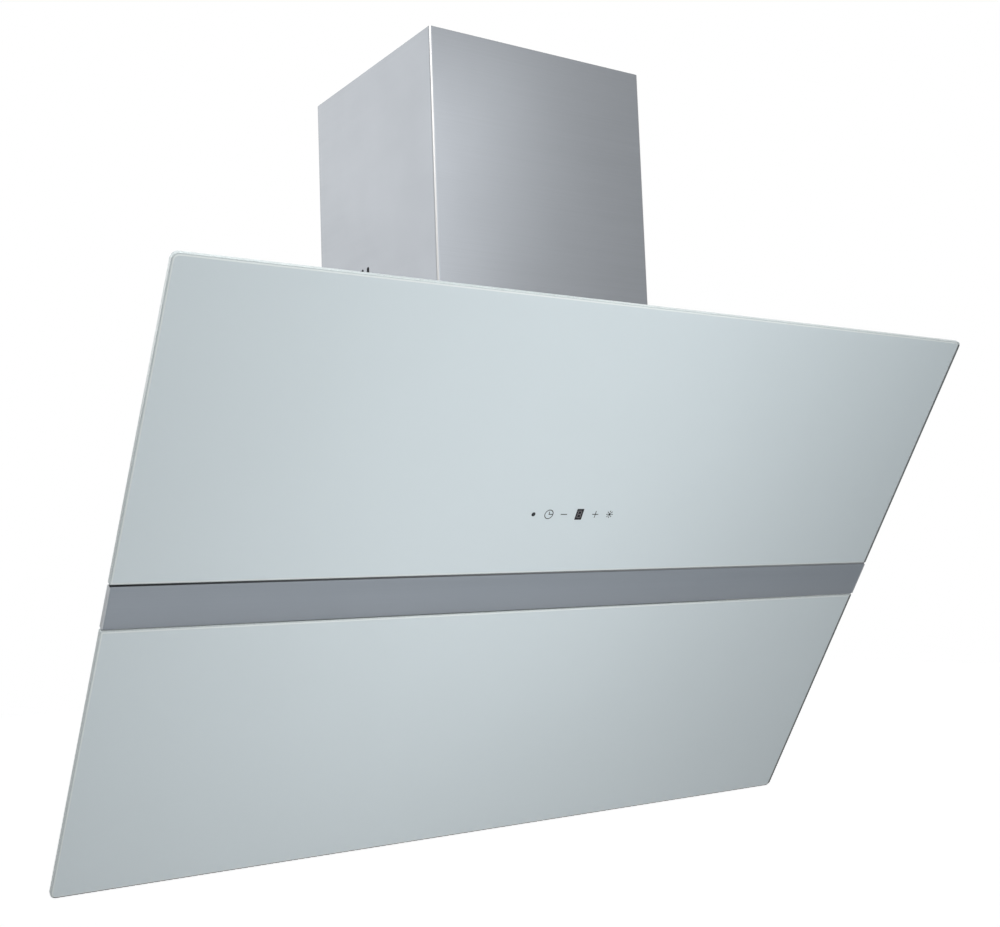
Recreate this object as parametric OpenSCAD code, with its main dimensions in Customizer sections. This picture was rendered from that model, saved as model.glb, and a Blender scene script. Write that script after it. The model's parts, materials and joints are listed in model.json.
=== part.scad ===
// Slanted wall hood: two inclined glass panes in front of a wedge-shaped sheet casing, which holds
// a double-inlet blower, two grease filters behind the hinged lower pane, and a two-part chimney.
// Frame: +X to the viewer's right, +Y into the wall, +Z up. The origin is the centre of the wall bolts.

/* [Overall] */
// Width of both glass panes
hood_w = 900; // [800:10:1200]
// Angle of the panes above the horizontal, in degrees
glass_tilt = 57; // [54:0.5:60]
// Height of the panes' top front edge above the centre of the wall bolts
glass_top_z = 240; // [225:1:260]
// How far the panes' top front edge stands in front of the chimney
glass_lead = 153; // [145:1:180]

/* [Glass panes] */
// Thickness of the glass
pane_t = 5; // [4:0.5:6]
// Length of the upper pane down the slope
upper_pane_l = 283; // [275:1:300]
// Length of the lower pane down the slope
lower_pane_l = 285.8; // [280:1:310]
// Radius of the outer corners of the panes
pane_corner_r = 6; // [2:0.5:20]
// Open joint between the upper pane and the band
shadow_gap = 2; // [1:0.5:4]
// Open joint between the band and the lower pane
door_gap = 2; // [2:0.5:4]

/* [Centre band] */
// Height of the band down the slope
band_h = 40; // [30:1:60]
// Wall of the band's profile
band_wall = 1.6; // [1:0.1:2.5]
// How far the profile's legs are set in from its long edges
band_leg_inset = 3; // [2:0.5:6]

/* [Backing frames] */
// Sheet thickness of the frames bonded to the panes
backing_t = 1.5; // [1:0.1:2]
// Width of the bars of the backing frames
backing_bar = 36; // [28:1:45]
// Distance of the backing frames from the panes' side edges
backing_side_inset = 30; // [20:1:60]
// Distance of the backing frames from the upper pane's top edge
backing_top_inset = 20; // [14:1:24]
// Distance of the upper backing frame from the upper pane's bottom edge
backing_low_inset = 7; // [4:1:10]
// Distance of the door frame from the lower pane's top edge
door_frame_top_inset = 6; // [4:1:10]
// Distance of the door frame from the lower pane's bottom edge
door_frame_low_inset = 12.8; // [10:1:20]
// Height of the door frame's stiffening lip
door_lip_h = 8; // [5:0.5:12]

/* [Casing] */
// Outer width of the casing
casing_w = 580; // [560:10:620]
// Sheet thickness of the casing
sheet_t = 1.2; // [0.8:0.1:2]
// Depth of the casing's front plate behind the front of the glass
casing_gap = 45; // [44:1:55]
// How far the casing's top lies below the panes' top edge
casing_top_drop = 12; // [8:1:20]
// How far the casing's front plate stops short of the lower pane's bottom edge
casing_short = 24; // [20:1:30]
// Width of the flanges of the casing's sides
flange_w = 16; // [14:1:22]
// Distance between the wall bolts across the hood
wall_bolt_x = 440; // [400:10:480]
// Distance between the wall bolts up the hood
wall_bolt_z = 340; // [300:10:360]
// Radius of the wall bolt holes
wall_hole_r = 4; // [3:0.5:5]

/* [Panel rails] */
// Distance of each rail's middle from the middle of the hood
rail_x = 200; // [160:1:210]
// Width of a rail's web
rail_w = 30; // [24:1:40]
// Width of a rail's feet
rail_foot_w = 12; // [10:1:16]
// Start of the rails, measured down the slope
rail_start = 46; // [46:1:50]
// Distance of the rails' ends from the band's lower edge
rail_end_inset = 3; // [2:1:8]

/* [Door hinges] */
// Distance of each hinge's middle from the middle of the hood
hinge_x = 235; // [230:1:240]
// Distance of the hinge axis from the lower pane's top edge
hinge_drop = 32; // [30:1:34]
// Depth of the hinge axis behind the front of the glass
hinge_depth = 10; // [9.5:0.5:11]
// Radius of the hinge pins
hinge_pin_r = 2; // [1.5:0.1:2.2]
// Outer radius of the hinge knuckles
hinge_knuckle_r = 4; // [3.5:0.1:4.2]
// Width of the fixed knuckle
hinge_arm_w = 12; // [8:1:14]
// Width of each moving knuckle
hinge_ear_w = 6; // [4:0.5:8]
// Width of a hinge leaf
hinge_leaf_w = 40; // [34:1:44]
// Sheet thickness of a hinge leaf
hinge_leaf_t = 1.5; // [1:0.1:2]

/* [Grease filters] */
// Width of a filter cassette
filter_w = 250; // [200:1:252]
// Length of a filter cassette down the slope
filter_l = 185; // [160:1:188]
// Thickness of a filter cassette
filter_t = 9; // [8:0.5:10]
// Distance of the cassettes' upper edge below the hinge axis
filter_drop = 26; // [26:1:28]
// Distance of each cassette from the middle of the hood
filter_mid_gap = 8; // [6:1:14]
// Width of the bars of a cassette's frame
filter_bar = 12; // [10:0.5:16]
// Width of the slots in the mesh pack
mesh_slot_w = 4; // [2:0.5:5]
// Length of the slots in the mesh pack
mesh_slot_l = 30; // [20:1:34]
// Travel of a filter latch
latch_travel = 6; // [4:0.5:6]

/* [Blower] */
// Outer radius of the impeller
impeller_r = 76; // [70:0.5:77]
// Width of the impeller
impeller_w = 116; // [90:1:120]
// Number of blades
blade_n = 40; // [24:1:48]
// Thickness of a blade
blade_t = 1.2; // [0.8:0.1:1.6]
// Radius of a blade's curve
blade_curve_r = 12; // [9:0.5:13]
// Radius of the scroll's tightest arc
scroll_r = 88; // [86:0.5:90]
// Growth of the scroll's radius with each quarter turn
scroll_step = 12; // [8:0.5:13]
// Wall of the scroll housing
scroll_wall = 2; // [1.5:0.1:2.5]
// Space between the impeller and each side wall of the scroll
scroll_side_gap = 12; // [8:0.5:14]
// Space between the scroll and the back panel
scroll_back_gap = 5; // [4:0.5:10]
// Height of the scroll's outlet above the impeller's axis
scroll_rise = 142; // [138:1:150]
// Width of the scroll's mounting flange
scroll_flange_w = 12; // [10:0.5:14]

/* [Motor] */
// Outer radius of the motor can
motor_r = 41; // [36:0.5:44]
// Length of the motor can
motor_l = 62; // [50:1:64]
// Wall of the motor can
motor_wall = 1.5; // [1:0.1:2]
// Radius of the motor shaft
shaft_r = 4; // [3:0.1:5]
// Outer radius of the bearings
bearing_r = 11; // [10:0.5:13]
// Width of the bearings
bearing_w = 7; // [5:0.5:9]
// Radius of the rotor
rotor_r = 26; // [22:0.5:28]
// Air gap between the rotor and the stator
rotor_gap = 0.6; // [0.4:0.1:1]

/* [Air outlet] */
// Outer radius of the duct collar, for a 150 mm duct
collar_r = 74.5; // [70:0.5:76]
// Wall of the duct collar
collar_wall = 2; // [1.5:0.1:2.5]
// Height of the duct collar above its flange
collar_h = 45; // [40:1:60]
// Width of the collar's flange
collar_flange_w = 12; // [11:0.5:14]
// Thickness of the collar's flange
collar_flange_t = 3; // [2:0.1:4]
// Thickness of the damper flaps
flap_t = 1.2; // [1:0.1:2]
// Radius of the damper spindle
spindle_r = 2; // [1.5:0.1:2.5]

/* [Chimney] */
// Outer width of the chimney
chimney_w = 263; // [250:1:320]
// Outer depth of the chimney, from the wall
chimney_d = 248; // [244:1:300]
// Height of the chimney above the panes' top edge
chimney_rise = 298; // [260:1:600]
// Sheet thickness of the chimney
chimney_t = 1; // [0.8:0.1:1.5]
// Radius of the chimney's bent corners
chimney_bend_r = 2.5; // [1.6:0.1:4]
// Width of the chimney covers' rear lips
chimney_lip_w = 8; // [6:0.5:10]
// Height of the vent slots' tops above the panes' top edge
vent_top = 88.5; // [70:0.5:100]
// Length of the vent slots
vent_l = 60; // [30:1:64]
// Width of the vent slots
vent_w = 5.2; // [3:0.1:7]
// Distance between the vent slots
vent_pitch = 12; // [9:0.5:16]
// Number of vent slots in each side
vent_n = 8; // [3:1:8]
// Distance of the first vent slot behind the chimney's front
vent_first = 138.7; // [120:0.1:142]
// Travel of the upper cover
cover_travel = 160; // [100:5:165]

/* [Lamp] */
// Length of the lamp bar
lamp_l = 420; // [300:10:480]
// Width of the lamp bar
lamp_w = 18; // [14:0.5:20]
// Height of the lamp bar
lamp_h = 12; // [10:0.5:14]

/* [Controls] */
// Distance of the touch keys from the upper pane's top edge, down the slope
keys_s = 217.5; // [200:0.5:220]
// Width of the touch board's housing
touch_w = 130; // [120:1:160]
// Length of the touch board's housing down the slope
touch_l = 34; // [28:1:36]
// Depth of the touch board's housing
touch_h = 14; // [10:0.5:20]

/* [Hidden] */
$fn = 64;

// Overrun of a cut past the face that it opens
over = 1;
// Gap between a moving piece and the piece that it rests on
rest_gap = 0.3;
// Radial clearance of a turning pin or shaft
run_fit = 0.05;
// Radial clearance of a pin or shaft that is held fast
held_fit = 0.02;

// Colours, as the photograph shows them
glass_colour = [0.80, 0.85, 0.86];
band_colour = [0.55, 0.58, 0.60];
steel_colour = [0.72, 0.74, 0.76];
zinc_colour = [0.62, 0.64, 0.66];
dark_colour = [0.16, 0.16, 0.17];
plastic_colour = [0.30, 0.31, 0.33];
alu_colour = [0.78, 0.79, 0.80];
board_colour = [0.10, 0.35, 0.22];
opal_colour = [0.95, 0.95, 0.92];

// Places on the slope, measured down from the panes' top edge
band_start = upper_pane_l + shadow_gap;
band_end = band_start + band_h;
door_start = band_end + door_gap;
door_end = door_start + lower_pane_l;
hinge_s = door_start + hinge_drop;
filter_start = hinge_s + filter_drop;
filter_end = filter_start + filter_l;
casing_end = door_end - casing_short;

// Places above the wall bolts and out from the wall
glass_top_y = -(chimney_d + glass_lead);
casing_top_z = glass_top_z - casing_top_drop;
chimney_top_z = glass_top_z + chimney_rise;

// A point of the slope in the plane of Y and Z: s down the panes, d behind the front of the glass
function slope_point(s, d) = [
  glass_top_y + s * cos(glass_tilt) + d * sin(glass_tilt),
  glass_top_z - s * sin(glass_tilt) + d * cos(glass_tilt)];

// The casing's section, counterclockwise in the plane of Y and Z
casing_top_s = (casing_top_drop + casing_gap * cos(glass_tilt)) / sin(glass_tilt);
casing_section = [
  [0, casing_top_z],
  slope_point(casing_top_s, casing_gap),
  slope_point(casing_end, casing_gap),
  [0, slope_point(casing_end, casing_gap)[1]]];
casing_bottom_z = casing_section[3][1];
casing_bottom_y = casing_section[2][0];

// A convex outline moved inwards by t on every side
function unit(v) = v / norm(v);
function inward(a, b) = let (d = unit(b - a)) [-d[1], d[0]];
function cross_at(p, u, q, v) =
  p + u * (((q - p)[0] * v[1] - (q - p)[1] * v[0]) / (u[0] * v[1] - u[1] * v[0]));
function inset(points, t) = let (n = len(points)) [
  for (i = [0 : n - 1])
    let (a = points[(i + n - 1) % n], b = points[i], c = points[(i + 1) % n])
      cross_at(a + inward(a, b) * t, unit(b - a), b + inward(b, c) * t, unit(c - b))];

// Children drawn with x across, y down the slope and z behind the front of the glass
module on_slope() {
  translate([0, glass_top_y, glass_top_z])
    rotate([-glass_tilt, 0, 0])
      children();
}

// A flat shape in the plane of Y and Z, extruded across the hood from x by length w
module across(x, w) {
  translate([x, 0, 0])
    rotate([90, 0, 90])
      linear_extrude(w)
        children();
}

// A flat shape in the plane of s and d, extruded across the hood inside on_slope
module slope_across(x, w) {
  translate([x, 0, 0])
    rotate([90, 0, 90])
      linear_extrude(w)
        children();
}

// A box from its low corner to its high corner
module span_box(low, high) {
  translate(low)
    cube(high - low);
}

// A flat rectangle from its low corner to its high corner
module span_rect(low, high) {
  translate(low)
    square(high - low);
}

// The waste at a rounded corner, drawn at the origin for the corner that points to -x -y
module corner_waste(r) {
  difference() {
    translate([-over, -over])
      square([r + over, r + over]);
    translate([r, r])
      circle(r);
  }
}

// A flat rectangle with all corners rounded
module round_rect(low, high, r) {
  difference() {
    span_rect(low, high);
    translate(low)
      corner_waste(r);
    translate([high[0], low[1]])
      mirror([1, 0])
        corner_waste(r);
    translate(high)
      mirror([1, 0])
        mirror([0, 1])
          corner_waste(r);
    translate([low[0], high[1]])
      mirror([0, 1])
        corner_waste(r);
  }
}

// A flat ring between two radii
module flat_ring(outer_r, inner_r) {
  difference() {
    circle(outer_r);
    circle(inner_r);
  }
}

// Two copies, one on each side of the middle of the hood
module both_sides() {
  children();
  mirror([1, 0, 0])
    children();
}

// Screws

screw_r = 1.9;
screw_hole_r = 2.1;
screw_head_r = 3.6;
screw_head_h = 2.2;
screw_socket_r = 1.3;
screw_socket_h = 1.2;
screw_l = 6;

// A domed screw whose head sits on z = 0 and whose shank of length l points to -z
module screw(l) {
  difference() {
    union() {
      translate([0, 0, -l])
        cylinder(r = screw_r, h = l + screw_head_h / 2);
      intersection() {
        cylinder(r = screw_head_r, h = screw_head_h);
        translate([0, 0, screw_head_h - 2 * screw_head_r])
          sphere(2 * screw_head_r);
      }
    }
    translate([0, 0, screw_head_h - screw_socket_h])
      cylinder(r = screw_socket_r, h = screw_socket_h + over, $fn = 6);
  }
}

module screw_hole(depth) {
  translate([0, 0, -depth])
    cylinder(r = screw_hole_r, h = 2 * depth);
}

// Places of the casing's screws
flange_x = casing_w / 2 - flange_w / 2;
top_screw_y_shares = [0.2, 0.8];
top_depth = -casing_section[1][0];
back_screw_z_shares = [0.3, 0.8];
front_screw_s_shares = [0.2, 0.86];
rail_screw_s_shares = [0.15, 0.85];
front_plate_l = casing_end - casing_top_s;
rail_end = band_end - rail_end_inset;
function front_screw_s(share) = casing_top_s + share * front_plate_l;
function rail_screw_s(share) = rail_start + share * (rail_end - rail_start);
rail_foot_x = rail_w / 2 + rail_foot_w / 2;
hole_reach = 4 * sheet_t;

module at_top_screws() {
  both_sides()
    for (share = top_screw_y_shares)
      translate([flange_x, -share * top_depth, casing_top_z])
        children();
}

module at_back_screws() {
  both_sides()
    for (share = back_screw_z_shares)
      translate([flange_x, 0, casing_bottom_z + share * (casing_top_z - casing_bottom_z)])
        children();
}

module at_front_screws() {
  on_slope()
    both_sides()
      for (share = front_screw_s_shares)
        translate([flange_x, front_screw_s(share), casing_gap])
          rotate([180, 0, 0])
            children();
}

module at_rail_screws() {
  on_slope()
    both_sides()
      for (side = [-1, 1])
        for (share = rail_screw_s_shares)
          translate([rail_x + side * rail_foot_x, rail_screw_s(share), casing_gap - rail_t])
            rotate([180, 0, 0])
              children();
}

module at_hinge_screws() {
  on_slope()
    both_sides()
      for (side = [-1, 1])
        translate([hinge_x + side * hinge_screw_x, hinge_s + hinge_screw_s,
                   casing_gap - hinge_leaf_t])
          rotate([180, 0, 0])
            children();
}

// Glass panes

module pane(start, l, round_low) {
  on_slope()
    translate([0, start, 0])
      linear_extrude(pane_t)
        difference() {
          span_rect([-hood_w / 2, 0], [hood_w / 2, l]);
          for (side = [0, 1])
            mirror([side, 0])
              translate([-hood_w / 2, round_low ? l : 0])
                mirror([0, round_low ? 1 : 0])
                  corner_waste(pane_corner_r);
        }
}

module upper_glass() {
  color(glass_colour)
    pane(0, upper_pane_l, false);
}

module lower_glass() {
  color(glass_colour)
    pane(door_start, lower_pane_l, true);
}

// Centre band: an aluminium profile with closed ends, which stands on the rails

band_depth = pane_t + backing_t;

module centre_band() {
  color(band_colour)
    on_slope() {
      slope_across(-hood_w / 2, hood_w)
        difference() {
          union() {
            span_rect([band_start, 0], [band_end, band_wall]);
            span_rect([band_start + band_leg_inset, 0],
                      [band_end - band_leg_inset, band_depth]);
          }
          span_rect([band_start + band_leg_inset + band_wall, band_wall],
                    [band_end - band_leg_inset - band_wall, band_depth + over]);
        }
      both_sides()
        slope_across(hood_w / 2 - band_wall, band_wall)
          span_rect([band_start, 0], [band_end, pane_t]);
    }
}

// Backing frames

module backing_ring(low_s, high_s, x) {
  difference() {
    span_rect([-x, low_s], [x, high_s]);
    span_rect([-x + backing_bar, low_s + backing_bar], [x - backing_bar, high_s - backing_bar]);
  }
}

backing_x = hood_w / 2 - backing_side_inset;
upper_frame_end = upper_pane_l - backing_low_inset;

module upper_glass_frame() {
  color(zinc_colour)
    on_slope()
      translate([0, 0, pane_t])
        linear_extrude(backing_t)
          backing_ring(backing_top_inset, upper_frame_end, backing_x);
}

door_frame_start = door_start + door_frame_top_inset;
door_frame_end = door_end - door_frame_low_inset;
hinge_notch_side = 2;
hinge_notch_w = hinge_arm_w + 2 * hinge_notch_side;

module door_frame() {
  color(zinc_colour)
    on_slope()
      difference() {
        union() {
          translate([0, 0, pane_t])
            linear_extrude(backing_t)
              backing_ring(door_frame_start, door_frame_end, backing_x);
          // stiffening lip round the inner edge of the two side bars and the lower bar
          translate([0, 0, pane_t])
            linear_extrude(backing_t + door_lip_h)
              difference() {
                span_rect([-backing_x + backing_bar - backing_t, door_frame_start + backing_bar],
                          [backing_x - backing_bar + backing_t,
                           door_frame_end - backing_bar + backing_t]);
                span_rect([-backing_x + backing_bar, door_frame_start],
                          [backing_x - backing_bar, door_frame_end - backing_bar]);
              }
        }
        both_sides()
          span_box([hinge_x - hinge_notch_w / 2, hinge_s - 2 * hinge_knuckle_r, 0],
                   [hinge_x + hinge_notch_w / 2, hinge_s + backing_bar, pane_t + 2 * backing_t]);
      }
}

// Panel rails: hat sections between the casing's front plate and the upper pane's frame

rail_t = 1.2;
rail_top_d = pane_t + backing_t;

module panel_rail() {
  color(zinc_colour)
    difference() {
      on_slope()
        translate([rail_x, 0, 0])
          difference() {
            union() {
              span_box([-rail_w / 2, rail_start, rail_top_d], [rail_w / 2, rail_end, casing_gap]);
              span_box([-rail_w / 2 - rail_foot_w, rail_start, casing_gap - rail_t],
                       [rail_w / 2 + rail_foot_w, rail_end, casing_gap]);
            }
            span_box([-rail_w / 2 + rail_t, rail_start - over, rail_top_d + rail_t],
                     [rail_w / 2 - rail_t, rail_end + over, casing_gap + over]);
          }
      at_rail_screws()
        screw_hole(hole_reach);
    }
}

module panel_rail_right() {
  panel_rail();
}

module panel_rail_left() {
  mirror([1, 0, 0])
    panel_rail();
}

// Casing: flat panels screwed to the flanges of the two sides

module casing_wall(low, high) {
  across(-casing_w / 2, casing_w)
    intersection() {
      difference() {
        polygon(casing_section);
        polygon(inset(casing_section, sheet_t));
      }
      span_rect(low, high);
    }
}

far_y = 2 * casing_section[1][0];

module casing_back_panel() {
  color(zinc_colour)
    difference() {
      casing_wall([-sheet_t, casing_bottom_z], [over, casing_top_z - sheet_t]);
      for (x = [-wall_bolt_x / 2, wall_bolt_x / 2])
        for (z = [-wall_bolt_z / 2, wall_bolt_z / 2])
          translate([x, 0, z])
            rotate([90, 0, 0])
              cylinder(r = wall_hole_r, h = 4 * sheet_t, center = true);
      at_back_screws()
        rotate([90, 0, 0])
          screw_hole(hole_reach);
    }
}

module casing_side() {
  color(zinc_colour)
    difference() {
      union() {
        across(casing_w / 2 - sheet_t, sheet_t)
          polygon(inset(casing_section, sheet_t));
        across(casing_w / 2 - flange_w, flange_w)
          difference() {
            polygon(inset(casing_section, sheet_t));
            polygon(inset(casing_section, 2 * sheet_t));
          }
      }
      at_top_screws()
        screw_hole(hole_reach);
      at_back_screws()
        rotate([90, 0, 0])
          screw_hole(hole_reach);
      at_front_screws()
        screw_hole(hole_reach);
    }
}

module casing_side_right() {
  casing_side();
}

module casing_side_left() {
  mirror([1, 0, 0])
    casing_side();
}

module casing_top_plate() {
  color(zinc_colour)
    difference() {
      casing_wall([far_y, casing_top_z - sheet_t], [over, casing_top_z + over]);
      translate([0, collar_y, casing_top_z])
        cylinder(r = collar_in_r, h = 4 * sheet_t, center = true);
      translate([gland_x, gland_y, casing_top_z])
        cylinder(r = gland_r + held_fit, h = 4 * sheet_t, center = true);
      at_top_screws()
        screw_hole(hole_reach);
      at_collar_screws()
        screw_hole(hole_reach);
      at_scroll_screws()
        screw_hole(hole_reach);
    }
}

module casing_bottom_plate() {
  color(zinc_colour)
    difference() {
      casing_wall([far_y, casing_bottom_z - over], [-sheet_t, casing_bottom_z + sheet_t]);
      span_box([-lamp_l / 2 - rest_gap, lamp_y - lamp_w / 2 - rest_gap, casing_bottom_z - over],
               [lamp_l / 2 + rest_gap, lamp_y + lamp_w / 2 + rest_gap,
                casing_bottom_z + sheet_t + over]);
    }
}

filter_open_r = 6;

module casing_front_plate() {
  color(zinc_colour)
    difference() {
      across(-casing_w / 2, casing_w)
        intersection() {
          difference() {
            polygon(casing_section);
            polygon(inset(casing_section, sheet_t));
          }
          span_rect([far_y, casing_bottom_z + sheet_t], [-2 * sheet_t, casing_top_z - sheet_t]);
        }
      on_slope()
        both_sides()
          translate([0, 0, casing_gap - over])
            linear_extrude(sheet_t + 2 * over)
              round_rect([filter_mid_gap + filter_bar, filter_start + filter_bar],
                         [filter_mid_gap + filter_w - filter_bar, filter_end - filter_bar],
                         filter_open_r);
      at_front_screws()
        screw_hole(hole_reach);
      at_rail_screws()
        screw_hole(hole_reach);
      at_hinge_screws()
        screw_hole(hole_reach);
    }
}

// Door hinges

hinge_screw_x = 14;
hinge_screw_s = 16;
hinge_arm_lean = 6;
hinge_foot_l = 24;
hinge_leaf_up = 12;
hinge_leaf_down = 22;
hinge_side_gap = 0.4;
// Inner and outer faces of a moving knuckle, measured from the middle of the hinge
hinge_ear_x = hinge_arm_w / 2 + hinge_side_gap;
hinge_half = hinge_ear_x + hinge_ear_w;
hinge_pin_head_r = 3;
hinge_pin_head_h = 1.2;

module hinge_fixed() {
  color(steel_colour)
    difference() {
      on_slope()
        difference() {
          union() {
            span_box([hinge_x - hinge_leaf_w / 2, hinge_s - hinge_knuckle_r,
                      casing_gap - hinge_leaf_t],
                     [hinge_x + hinge_leaf_w / 2, hinge_s + hinge_foot_l, casing_gap]);
            slope_across(hinge_x - hinge_arm_w / 2, hinge_arm_w) {
              translate([hinge_s, hinge_depth])
                circle(hinge_knuckle_r);
              polygon([
                [hinge_s - hinge_knuckle_r, hinge_depth],
                [hinge_s + hinge_knuckle_r, hinge_depth],
                [hinge_s + hinge_foot_l, casing_gap - hinge_leaf_t],
                [hinge_s + hinge_arm_lean, casing_gap - hinge_leaf_t]]);
            }
          }
          slope_across(hinge_x - hinge_arm_w, 2 * hinge_arm_w)
            translate([hinge_s, hinge_depth])
              circle(hinge_pin_r + run_fit);
        }
      at_hinge_screws()
        screw_hole(hole_reach);
    }
}

module hinge_moving() {
  leaf_front = pane_t + backing_t;
  head_room = hinge_pin_head_h + rest_gap;
  head_reach = hinge_pin_head_r + rest_gap;
  color(steel_colour)
    on_slope()
      difference() {
        union() {
          span_box([hinge_x - hinge_leaf_w / 2, hinge_s - hinge_leaf_up, leaf_front],
                   [hinge_x + hinge_leaf_w / 2, hinge_s + hinge_leaf_down,
                    leaf_front + hinge_leaf_t]);
          for (x = [-hinge_half, hinge_ear_x])
            slope_across(hinge_x + x, hinge_ear_w)
              intersection() {
                union() {
                  translate([hinge_s, hinge_depth])
                    circle(hinge_knuckle_r);
                  span_rect([hinge_s - hinge_knuckle_r, leaf_front],
                            [hinge_s + hinge_knuckle_r, hinge_depth]);
                }
                span_rect([hinge_s - 2 * hinge_knuckle_r, leaf_front],
                          [hinge_s + 2 * hinge_knuckle_r, hinge_depth + 2 * hinge_knuckle_r]);
              }
        }
        // notch for the fixed arm
        span_box([hinge_x - hinge_ear_x, hinge_s - hinge_leaf_up - over, 0],
                 [hinge_x + hinge_ear_x, hinge_s + hinge_leaf_down - hinge_knuckle_r,
                  casing_gap]);
        // windows for the heads of the pin
        for (x = [-hinge_half - head_room, hinge_half])
          span_box([hinge_x + x, hinge_s - head_reach, 0],
                   [hinge_x + x + head_room, hinge_s + head_reach, hinge_depth]);
        slope_across(hinge_x - hinge_leaf_w, 2 * hinge_leaf_w)
          translate([hinge_s, hinge_depth])
            circle(hinge_pin_r + held_fit);
      }
}

module hinge_fixed_right() {
  hinge_fixed();
}

module hinge_fixed_left() {
  mirror([1, 0, 0])
    hinge_fixed();
}

module hinge_moving_right() {
  hinge_moving();
}

module hinge_moving_left() {
  mirror([1, 0, 0])
    hinge_moving();
}

module hinge_pins() {
  color(steel_colour)
    on_slope()
      both_sides() {
        slope_across(hinge_x - hinge_half, 2 * hinge_half)
          translate([hinge_s, hinge_depth])
            circle(hinge_pin_r);
        for (x = [-hinge_half - hinge_pin_head_h, hinge_half])
          slope_across(hinge_x + x, hinge_pin_head_h)
            translate([hinge_s, hinge_depth])
              circle(hinge_pin_head_r);
      }
}

// Magnetic catches at the door's lower edge

catch_x = 274;
catch_w = 20;
catch_l = 18;
catch_inset = 2;
catch_wall = 2;
magnet_r = 6;
magnet_t = 4;
strike_w = 26;
strike_t = 1.5;
strike_corner_r = 2.5;
catch_s = casing_end - catch_inset - catch_l / 2;
catch_front = pane_t + backing_t + strike_t + rest_gap;

module catch_housings() {
  color(dark_colour)
    on_slope()
      both_sides()
        difference() {
          span_box([catch_x - catch_w / 2, catch_s - catch_l / 2, catch_front],
                   [catch_x + catch_w / 2, catch_s + catch_l / 2, casing_gap]);
          translate([catch_x, catch_s, catch_front - over])
            cylinder(r = magnet_r + held_fit, h = magnet_t + over);
          span_box([catch_x - catch_w / 2 + catch_wall, catch_s - catch_l / 2 + catch_wall,
                    catch_front + magnet_t + catch_wall],
                   [catch_x + catch_w / 2 - catch_wall, catch_s + catch_l / 2 - catch_wall,
                    casing_gap + over]);
        }
}

module catch_magnets() {
  color(steel_colour)
    on_slope()
      both_sides()
        translate([catch_x, catch_s, catch_front])
          cylinder(r = magnet_r, h = magnet_t);
}

module strike_plates() {
  color(steel_colour)
    on_slope()
      both_sides()
        translate([0, 0, pane_t + backing_t])
          linear_extrude(strike_t)
            round_rect([catch_x - strike_w / 2, catch_s - catch_l / 2],
                       [catch_x + strike_w / 2, catch_s + catch_l / 2], strike_corner_r);
}

// Grease filters

filter_back = casing_gap;
filter_front = casing_gap - filter_t;
filter_skin = 1;
filter_mid_x = filter_mid_gap + filter_w / 2;
filter_frame_r = 4;
mesh_clear = 0.3;

module filter_frame() {
  color(alu_colour)
    on_slope()
      difference() {
        translate([0, 0, filter_front])
          linear_extrude(filter_t)
            difference() {
              round_rect([filter_mid_gap, filter_start],
                         [filter_mid_gap + filter_w, filter_end], filter_frame_r);
              span_rect([filter_mid_gap + filter_bar, filter_start + filter_bar],
                        [filter_mid_gap + filter_w - filter_bar, filter_end - filter_bar]);
            }
        // channel that holds the edges of the mesh pack
        span_box([filter_mid_gap + filter_skin, filter_start + filter_skin,
                  filter_front + filter_skin],
                 [filter_mid_gap + filter_w - filter_skin, filter_end - filter_skin,
                  filter_back - filter_skin]);
      }
}

mesh_low = [filter_mid_gap + filter_skin + mesh_clear, filter_start + filter_skin + mesh_clear];
mesh_high = [filter_mid_gap + filter_w - filter_skin - mesh_clear,
             filter_end - filter_skin - mesh_clear];
mesh_open_w = filter_w - 2 * filter_bar;
mesh_open_l = filter_l - 2 * filter_bar;
mesh_land = 3;
mesh_cols = floor((mesh_open_w - mesh_land) / (mesh_slot_l + mesh_land));
mesh_rows = floor((mesh_open_l - mesh_land) / (mesh_slot_w + 2 * mesh_land));
mesh_pitch_x = (mesh_open_w - mesh_land) / mesh_cols;
mesh_pitch_s = (mesh_open_l - mesh_land) / mesh_rows;

module mesh_slot() {
  span_rect([-mesh_slot_l / 2 + mesh_slot_w / 2, -mesh_slot_w / 2],
            [mesh_slot_l / 2 - mesh_slot_w / 2, mesh_slot_w / 2]);
  for (side = [-1, 1])
    translate([side * (mesh_slot_l - mesh_slot_w) / 2, 0])
      circle(mesh_slot_w / 2);
}

module filter_mesh() {
  color(zinc_colour)
    on_slope()
      translate([0, 0, filter_front + filter_skin + mesh_clear])
        linear_extrude(filter_t - 2 * filter_skin - 2 * mesh_clear)
          difference() {
            span_rect(mesh_low, mesh_high);
            for (i = [0 : mesh_cols - 1])
              for (j = [0 : mesh_rows - 1])
                translate([filter_mid_x + (i - (mesh_cols - 1) / 2) * mesh_pitch_x,
                           filter_start + filter_l / 2 + (j - (mesh_rows - 1) / 2) * mesh_pitch_s])
                  mesh_slot();
          }
}

module filter_frame_right() {
  filter_frame();
}

module filter_frame_left() {
  mirror([1, 0, 0])
    filter_frame();
}

module filter_mesh_right() {
  filter_mesh();
}

module filter_mesh_left() {
  mirror([1, 0, 0])
    filter_mesh();
}

// Filter latches: a sliding plate with a grip and a tongue that hooks under the keeper

latch_w = 50;
latch_t = 2.4;
latch_l = 10;
latch_tongue_w = 20;
latch_tongue_l = 7;
latch_grip_w = 34;
latch_grip_t = 3;
latch_grip_h = 9;
guide_w = 5;
guide_t = 1.2;
clip_w = 24;
clip_t = 1.2;
clip_foot_l = 8;
clip_lip_l = 5;
latch_back = filter_front - rest_gap;
latch_front = latch_back - latch_t;
latch_end = filter_end - 2 * filter_skin;
tongue_end = filter_end + latch_tongue_l;
latch_start = latch_end - latch_l;

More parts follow.
